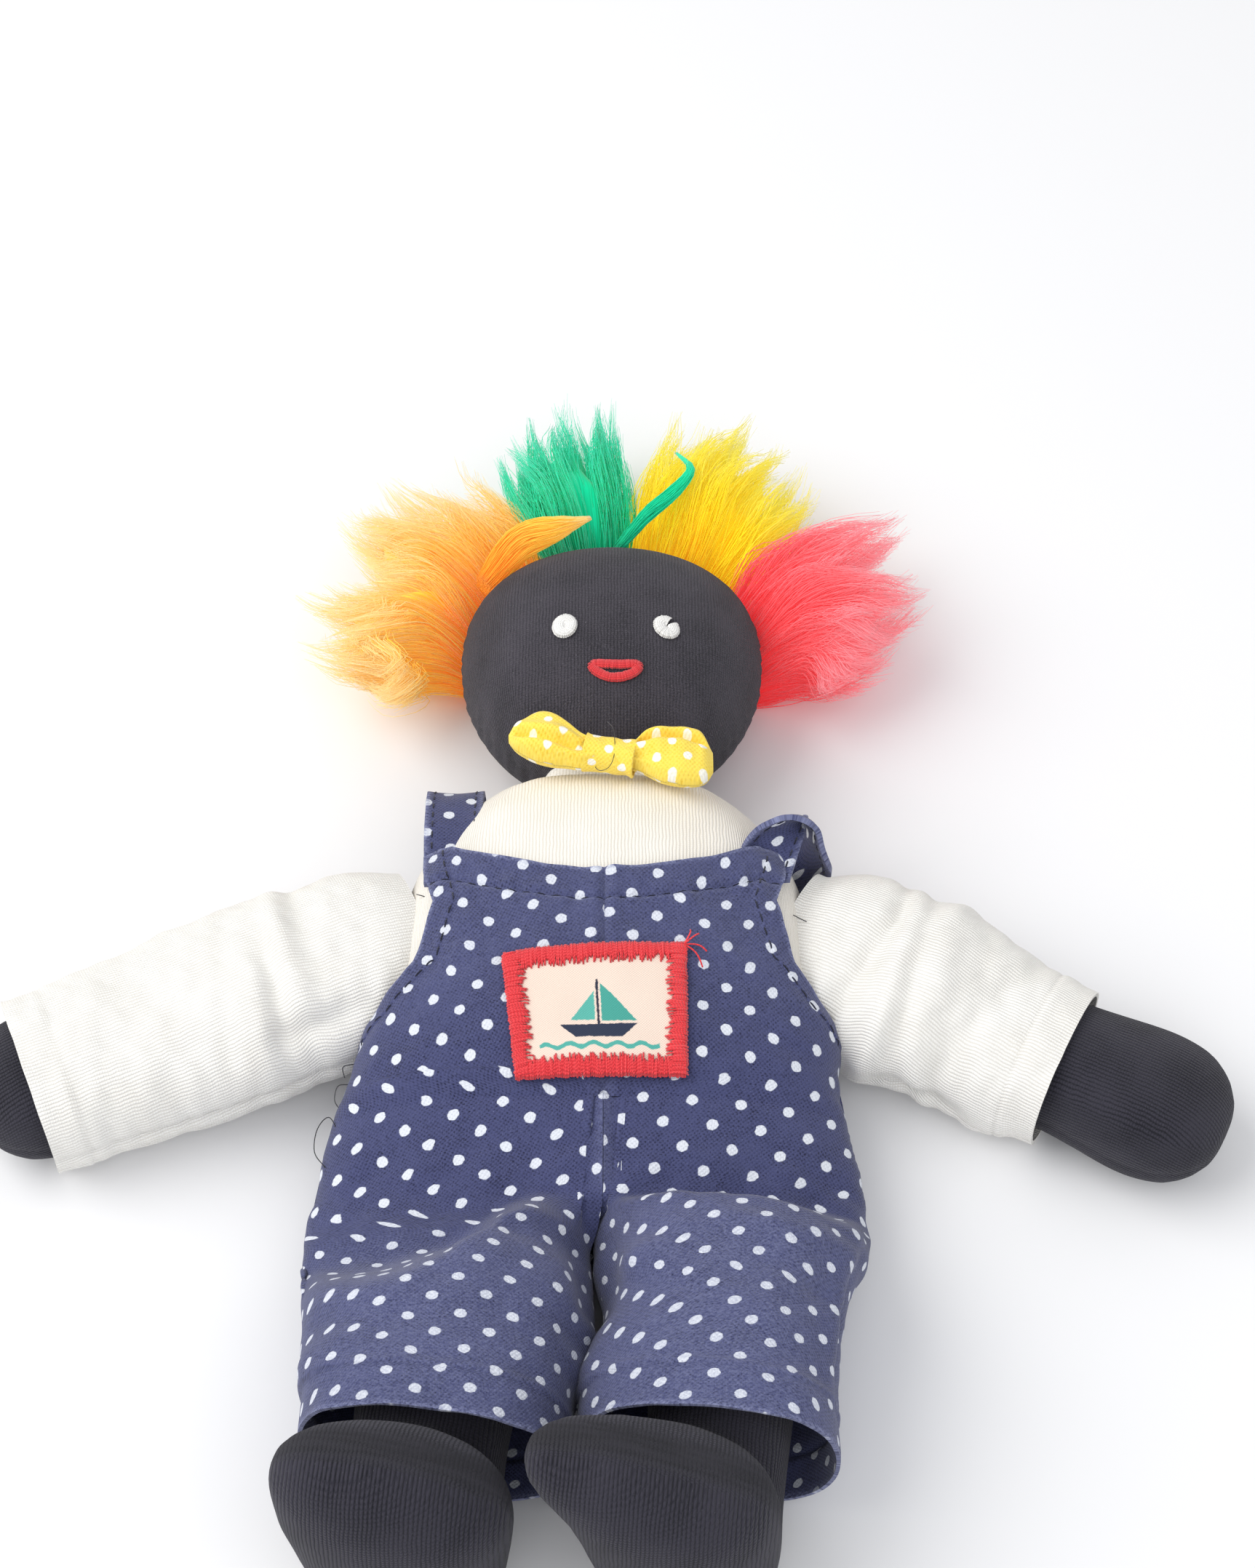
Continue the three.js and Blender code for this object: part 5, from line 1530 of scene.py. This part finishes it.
# Each strap's route: the share of its length, its middle, and the way from its inner to its outer edge
strap_routes = {
    "left": [
        (0.0, 29.6, 6.0, 31.2, 1.0, 0.0, -0.1), (0.1, 31.0, 11.2, 31.0, 1.0, -0.02, -0.15),
        (0.2, 32.8, 15.0, 32.6, 0.9, 0.15, -0.4), (0.3, 35.8, 18.6, 33.6, 0.5, 0.45, -0.74),
        (0.38, 38.2, 19.9, 32.4, 0.15, 0.6, -0.78), (0.46, 39.8, 20.2, 29.4, -0.12, 0.62, -0.76),
        (0.55, 40.4, 19.6, 24.8, -0.3, 0.6, -0.7), (0.64, 40.0, 18.8, 19.0, -0.6, 0.4, -0.45),
        (0.74, 38.4, 18.6, 12.0, -0.95, -0.1, -0.15), (0.82, 36.6, 18.0, 4.6, -0.95, -0.2, 0.0),
        (0.89, 33.6, 10.0, 1.3, -1.0, 0.0, 0.0), (1.0, 30.0, -14.0, 0.8, -1.0, 0.0, 0.0),
    ],
    "right": [
        (0.0, -28.8, 5.0, 31.2, -1.0, 0.0, -0.12), (0.12, -29.2, 13.0, 30.6, -1.0, 0.0, -0.12),
        (0.26, -29.5, 22.0, 29.2, -1.0, 0.0, -0.06), (0.36, -29.7, 28.6, 26.8, -1.0, 0.0, 0.0),
        (0.44, -29.7, 32.4, 23.4, -1.0, 0.0, 0.0), (0.52, -29.7, 34.4, 17.6, -1.0, 0.0, 0.0),
        (0.6, -29.7, 34.0, 11.0, -1.0, 0.0, 0.0), (0.68, -29.7, 30.6, 4.6, -1.0, 0.0, 0.0),
        (0.76, -29.7, 22.0, 1.4, -1.0, 0.0, 0.0), (1.0, -29.7, -14.0, 0.8, -1.0, 0.0, 0.0),
    ],
}


def make_strap(side, sign):
    """A strap from the bib over the shoulder to the back. The left one stands off in a loop."""
    t = np.linspace(0.0, 1.0, 170)
    table = smooth(strap_routes[side], t)
    way = table[:, 3:] / np.linalg.norm(table[:, 3:], axis=1, keepdims=True)
    across = np.linspace(-0.5, 0.5, 23)[None, :, None] * strap_width
    points = table[:, None, :3] + way[:, None] * across
    points[..., 2] = np.maximum(points[..., 2], cloth_thickness / 2 + 0.1)
    normals = grid_normals(points) * sign
    edge = bump(np.abs(across[..., 0]), strap_width / 2.0, 1.3)
    amount = 0.28 * edge + 0.14 * waves(points[..., 0] + points[..., 2], points[..., 1], 9.0, 51)
    points = points + normals * amount[..., None]
    points[..., 2] = np.maximum(points[..., 2], cloth_thickness / 2 + 0.1)
    middle = points.shape[1] // 2
    # The strap's edges are worn paler
    paling = bump(np.abs(across[..., 0]), strap_width / 2.0, 0.7) + 0.0 * t[:, None]
    places = flat_places(points, 3.0, middle)
    piece = cloth_piece(f"shoulder_strap_{side}", points, navy_cotton, places, paling, thickness=1.1)
    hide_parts(f"strap_{side}")
    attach(piece, "torso")
    for name, k in (("inner", 3), ("outer", -4)):
        stitch_line(f"strap_stitches_{side}_{name}", points[:, k], normals[:, k], 0.75)


def stitch_line(name, line, normals, lift):
    """A row of running stitches along a line on the cloth."""
    steps = np.linalg.norm(np.diff(line, axis=0), axis=1)
    place = np.concatenate([[0.0], np.cumsum(steps)])
    strands, at = [], 0.0
    while at + stitch_length < place[-1]:
        t = np.linspace(at, at + stitch_length, 7)
        share = (t - at) / stitch_length
        centre = np.column_stack([np.interp(t, place, line[:, k]) for k in range(3)])
        normal = np.column_stack([np.interp(t, place, normals[:, k]) for k in range(3)])
        arch = (lift * (1.0 - (2.0 * share - 1.0) ** 4) - 0.12)[:, None]
        strands.append(strand(centre + normal * arch, stitch_radius, 6))
        at += stitch_length + stitch_gap
    obj = join_strands(name, strands, navy_thread)
    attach(obj, "torso")


label_low = ((-15.8, -37.6), (15.0, -37.2))
label_high = ((-18.9, -14.2), (15.2, -12.2))


def label_shape(u, v):
    """A place on the label between its four corners: u runs to the doll's left, v upwards."""
    across, up = (u + 1.0) / 2.0, (v + 1.0) / 2.0
    low, high = (
        [mix(edge[0][k], edge[1][k], across) for k in (0, 1)] for edge in (label_low, label_high)
    )
    return tuple(mix(low[k], high[k], up) for k in (0, 1))


def make_label():
    below = [f"{piece}_{side}" for piece in ("bib_front", "hip_wrap") for side, _ in sides]
    height = resting_height(below, (-24.0, -46.0), (22.0, -5.0))
    u, v = np.meshgrid(np.linspace(-0.97, 0.97, 60), np.linspace(-0.97, 0.97, 56))
    x, y = label_shape(u, v)
    points = np.stack([x, y, height(x, y) + 0.35], axis=-1)
    places = np.stack([u * label_width / 2, v * label_height / 2, 0.0 * u], axis=-1)
    label = cloth_piece("label_cloth", points, label_paint(), places, thickness=0.4)
    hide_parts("label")
    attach(label, "torso")
    make_label_border(height)
    make_label_threads(height)


def make_label_border(height):
    """The satin stitch round the label. height gives the top of the cloth under it."""
    inset, tall = 1.0 - label_border / label_width, 1.0 - label_border / label_height
    t = np.linspace(-0.99, 0.99, 60)
    edges = ((t, -tall + 0.0 * t), (inset + 0.0 * t, t), (-t, tall + 0.0 * t), (-inset + 0.0 * t, -t))
    threads = []
    for number, (edge_u, edge_v) in enumerate(edges):
        line = np.column_stack(label_shape(edge_u, edge_v))

        def on_label(a, b, lift=0.55 + 0.1 * (number % 2)):
            return height(a, b) + lift

        threads += satin(line, label_border, on_label, 0.25, 0.18, 0.5, 0.8, number, False)
    border = join_strands("label_satin", threads, red_thread)
    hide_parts("label_border")
    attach(border, "torso")


def make_label_threads(height):
    """The loose thread ends at the label's upper corner, on the doll's left."""
    corner = np.array([*label_shape(0.97, 0.97), 0.0])
    tails = []
    for dx, dy, dz in ((2.8, 1.4, 1.2), (4.2, -1.6, 0.4), (1.2, 2.4, 0.9), (3.4, -4.6, 0.3)):
        t = np.linspace(0.0, 1.0, 9)[:, None]
        line = corner + t * [dx, dy, 0.0] + np.sin(math.pi * t) * [0.5, 0.6, 0.0]
        line[:, 2] = height(line[:, 0], line[:, 1]) + 0.9 + dz * t[:, 0]
        tails.append(strand(line, 0.16, 5))
    tail = join_strands("label_thread_ends", tails, red_thread)
    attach(tail, "torso")


def label_paint():
    """Cream label cloth with a small printed sailing boat."""
    paint = Paint("label_cloth", 0.9, 0.15)
    place = paint.attribute("cloth")
    u, v, _ = paint.parts(place)
    weave = paint.times(paint.wave(u, 0.5), paint.wave(v, 0.5))
    base = paint.blend(paint.range(weave, -1.0, 1.0), colour(0.78, 0.62, 0.51), colour(0.90, 0.75, 0.65))
    ragged = paint.times(paint.minus(paint.noise(place, 1.4, 2.0), 0.5), 0.5)
    shapes = (
        (boat_sail(paint, u, v, 0.6, 6.6, 5.6, -2.6), colour(0.07, 0.36, 0.30)),
        (boat_sail(paint, u, v, -0.5, -4.8, 4.0, -2.2), colour(0.11, 0.45, 0.38)),
        (boat_mast(paint, u, v), colour(0.03, 0.035, 0.06)),
        (boat_hull(paint, u, v), colour(0.03, 0.04, 0.075)),
        (boat_waves(paint, u, v), colour(0.09, 0.42, 0.36)),
    )
    for inside, tone in shapes:
        mask = paint.range(paint.plus(inside, ragged), -0.12, 0.12)
        base = paint.blend(mask, base, tone)
    return paint.finish(base, paint.times_plus(weave, 0.5, 0.5), 0.07)


def boat_sail(paint, u, v, mast, corner, top, foot):
    """How far a place lies inside a three-cornered sail, in millimetres."""
    sign = 1.0 if corner > mast else -1.0
    from_mast = paint.times(paint.minus(u, mast), sign)
    above = paint.minus(v, foot)
    run, rise = abs(corner - mast), top - foot
    slope = paint.times_plus(above, -run / rise, run)
    edge = paint.minus(slope, from_mast)
    return paint.least(paint.least(from_mast, above), edge)


def boat_mast(paint, u, v):
    near = paint.minus(0.22, paint.size(paint.minus(u, 0.05)))
    high = paint.minus(6.4, v)
    low = paint.plus(v, 3.6)
    return paint.least(near, paint.least(high, low))


def boat_hull(paint, u, v):
    deck = paint.minus(-3.2, v)
    keel = paint.plus(v, 6.1)
    flare = paint.times_plus(v, 0.9, 9.6)
    side = paint.minus(flare, paint.size(u))
    return paint.least(side, paint.least(deck, keel))


def boat_waves(paint, u, v):
    swell = paint.times(paint.wave(u, 4.2), 0.45)
    level = paint.plus(paint.plus(v, 7.9), swell)
    near = paint.minus(0.5, paint.size(level))
    wide = paint.minus(10.5, paint.size(u))
    return paint.least(near, wide)


# The outline of each loop of the bow, from the bow's middle: how far out, its upper and its lower edge
bow_outlines = {
    "right": [
        (0.4, 2.4, -2.0), (3.5, 3.0, -2.5), (5.4, 4.6, -2.8), (8.0, 7.2, -2.2), (10.7, 9.2, -1.9),
        (13.3, 9.7, -1.1), (16.0, 8.2, 0.4), (18.0, 6.6, 2.0), (19.0, 4.8, 3.4),
    ],
    "left": [
        (0.4, 2.0, -2.4), (3.5, 2.6, -2.6), (4.8, 3.3, -3.1), (6.9, 5.0, -4.2), (9.0, 5.7, -5.6),
        (12.0, 5.7, -6.6), (15.1, 5.6, -7.0), (16.8, 5.1, -6.9), (18.2, 2.8, -6.0), (19.2, 0.4, -4.2),
    ],
}
bow_creases = {
    "right": [(0.0, 0.0), (6.4, 0.4), (18.1, 4.0), (19.5, 4.2)],
    "left": [(0.0, 0.4), (5.4, 2.2), (12.5, 2.6), (17.1, 1.6), (19.5, 0.6)],
}
bow_depth_shares = [
    (0.0, 0.6), (0.2, 0.66), (0.4, 0.9), (0.62, 1.0), (0.82, 0.86), (0.94, 0.56), (1.0, 0.22),
]


def bow_wing(side, sign):
    """One puffed loop of the bow, folded over at its outer end, with a crease in to the band."""
    outline = np.array(bow_outlines[side])
    t = np.sin(np.linspace(0.0, math.pi / 2.0, 46))
    out = mix(outline[0, 0], outline[-1, 0], t)
    high, low = smooth(outline, out).T
    deep = bow_depth * smooth(bow_depth_shares, t)[..., 0]
    angle = np.arange(72) / 72 * 2.0 * math.pi
    y, z = rounded((high - low)[:, None] / 2.0, deep[:, None], angle[None], bow_roundness)
    y = y + (high + low)[:, None] / 2.0
    off = y - linear(bow_creases[side], out)[:, None]
    near = ease(0.0, 0.14, t)[:, None] * ease(1.0, 0.86, t)[:, None]
    front = ease(-0.1, 0.5, np.sin(angle))[None]
    crease = (-2.3 * bump(off, 0.0, 0.8) + 0.6 * bump(np.abs(off), 2.0, 1.1)) * near
    pleats = 0.6 * np.cos(angle[None] * 7.0 + 1.0) * (1.0 - t[:, None]) ** 1.4
    soft = 0.25 * waves(sign * out[:, None] + 0.0 * y, y, 6.0, 61 if sign > 0 else 62) * near
    z = z + (crease + pleats + soft) * front
    return np.stack([sign * bow_stretch * out[:, None] + 0.0 * y, y, z], axis=-1)


def make_bow():
    for side, sign in sides:
        rings = bow_wing(side, sign)
        wing = closed_loft(f"bow_wing_{side}", rings + bow_centre, yellow_cotton)
        places = with_ends(rings)
        places[places[:, 2] < -0.5, 1] += 3.0
        set_cloth(wing, places)
        add_modifier(wing, "SUBSURF", "fine", levels=1, render_levels=1)
        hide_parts(f"bow_loop_{side}")
        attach(wing, "torso")
    make_bow_band()


def make_bow_band():
    """The band round the middle of the bow, pinched in between the loops."""
    turn = Matrix.Rotation(math.radians(-bow_tilt), 4, "Z")
    angle = np.linspace(0.0, 2.0 * math.pi, 91)
    across = np.linspace(-1.0, 1.0, 40)
    x = band_half_width * across[:, None] + 0.0 * angle[None]
    waist = 1.0 + 0.10 * across[:, None] ** 2
    soft = 0.12 * waves(x, 3.0 * angle[None] + 0.0 * x, 4.0, 63)
    y = (band_half_height * np.cos(angle)[None] + soft) * waist
    z = (band_half_depth * np.sin(angle)[None] + soft) * waist
    flat = np.stack([x, band_half_height * angle[None] + 0.0 * x, z], axis=-1)
    points = np.stack([x, y, z], axis=-1) @ np.array(turn.to_3x3()).T + bow_centre
    band = cloth_piece("bow_knot", points, yellow_cotton, flat, thickness=0.5)
    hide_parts("bow_band")
    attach(band, "torso")


# Loose threads

thread_routes = [
    [
        (-2.6, 29.4, 38.0), (-1.2, 26.4, 39.2), (0.8, 26.2, 40.6), (1.8, 29.0, 41.6), (1.6, 34.0, 42.2),
        (0.4, 39.0, 38.6),
    ],
    [
        (-48.6, -41.5, 18.0), (-50.6, -38.6, 18.6), (-52.6, -41.0, 18.2), (-52.8, -45.4, 17.6),
        (-50.6, -48.6, 17.6),
    ],
    [(-47.6, -31.2, 18.0), (-49.4, -32.0, 18.6), (-49.8, -34.8, 18.4), (-48.8, -36.6, 18.0)],
    [(-46.6, -27.4, 19.0), (-48.6, -28.2, 19.2), (-48.2, -30.4, 19.0)],
    [(-33.4, 3.6, 28.4), (-34.6, 4.0, 28.8), (-36.0, 4.6, 28.6)],
    [(35.8, 0.2, 28.0), (37.0, -0.6, 28.0), (38.4, -1.0, 27.4)],
]


def make_loose_threads():
    strands = []
    for number, route in enumerate(thread_routes):
        knots = np.linspace(0.0, 1.0, len(route))
        line = smooth(np.column_stack([knots, np.array(route)]), np.linspace(0.0, 1.0, 25))
        strands.append(strand(line, 0.1 if number else 0.07, 5))
    obj = join_strands("loose_threads", strands, grey_thread)
    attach(obj, "torso")


# Stage, light and camera

def make_stage():
    size = floor_half_size
    points = [(-size, -size, 0.0), (size, -size, 0.0), (size, size, 0.0), (-size, size, 0.0)]
    mesh = bpy.data.meshes.new("floor")
    mesh.from_pydata((np.array(points) / mm_per_metre).tolist(), [], [(0, 1, 2, 3)])
    floor = bpy.data.objects.new("floor", mesh)
    bpy.context.scene.collection.objects.link(floor)
    mesh.materials.append(floor_paint())


def floor_paint():
    """Plain pale paint, the same all over."""
    paint = Paint("floor_paint", 0.85)
    paint.shader.inputs["Base Color"].default_value = colour(0.86, 0.86, 0.87)
    return paint.material


def make_lamp(name, place, size, power, tone):
    lamp = bpy.data.lights.new(name, "AREA")
    lamp.shape = "DISK"
    lamp.size = size
    lamp.energy = power
    lamp.color = tone
    obj = bpy.data.objects.new(name, lamp)
    bpy.context.scene.collection.objects.link(obj)
    obj.location = Vector(place) / mm_per_metre
    target = Vector((0.0, 0.0, 20.0)) / mm_per_metre
    obj.rotation_euler = (target - obj.location).to_track_quat("-Z", "Y").to_euler()


def make_lights():
    make_lamp("key", (-850.0, 60.0, 900.0), 1.3, 11.5, (1.0, 0.99, 0.97))
    make_lamp("fill", (300.0, -800.0, 900.0), 1.5, 5.0, (0.97, 0.98, 1.0))
    world = bpy.data.worlds.new("studio")
    bpy.context.scene.world = world
    world.use_nodes = True
    background = world.node_tree.nodes["Background"]
    background.inputs[0].default_value = colour(0.97, 0.98, 1.0)
    background.inputs[1].default_value = world_strength


def make_camera():
    data = bpy.data.cameras.new("camera")
    data.lens = camera_lens
    data.sensor_width = camera_sensor
    data.clip_start = 0.01
    obj = bpy.data.objects.new("camera", data)
    bpy.context.scene.collection.objects.link(obj)
    obj.location = Vector(camera_place) / mm_per_metre
    obj.rotation_euler = (math.radians(90.0 - camera_elevation), 0.0, 0.0)
    bpy.context.scene.camera = obj


make_camera()
make_stage()
make_lights()
bpy.context.scene.view_settings.view_transform = "Standard"

make_torso()
make_head()
make_neck()
make_face()
make_hair()
for side, sign in sides:
    make_arm(side, sign)
    make_leg(side, sign)
    make_sleeve(side, sign)
    make_front(side, sign)
    make_back(side, sign)
    make_trousers(side, sign)
    make_strap(side, sign)
make_label()
make_bow()
make_loose_threads()
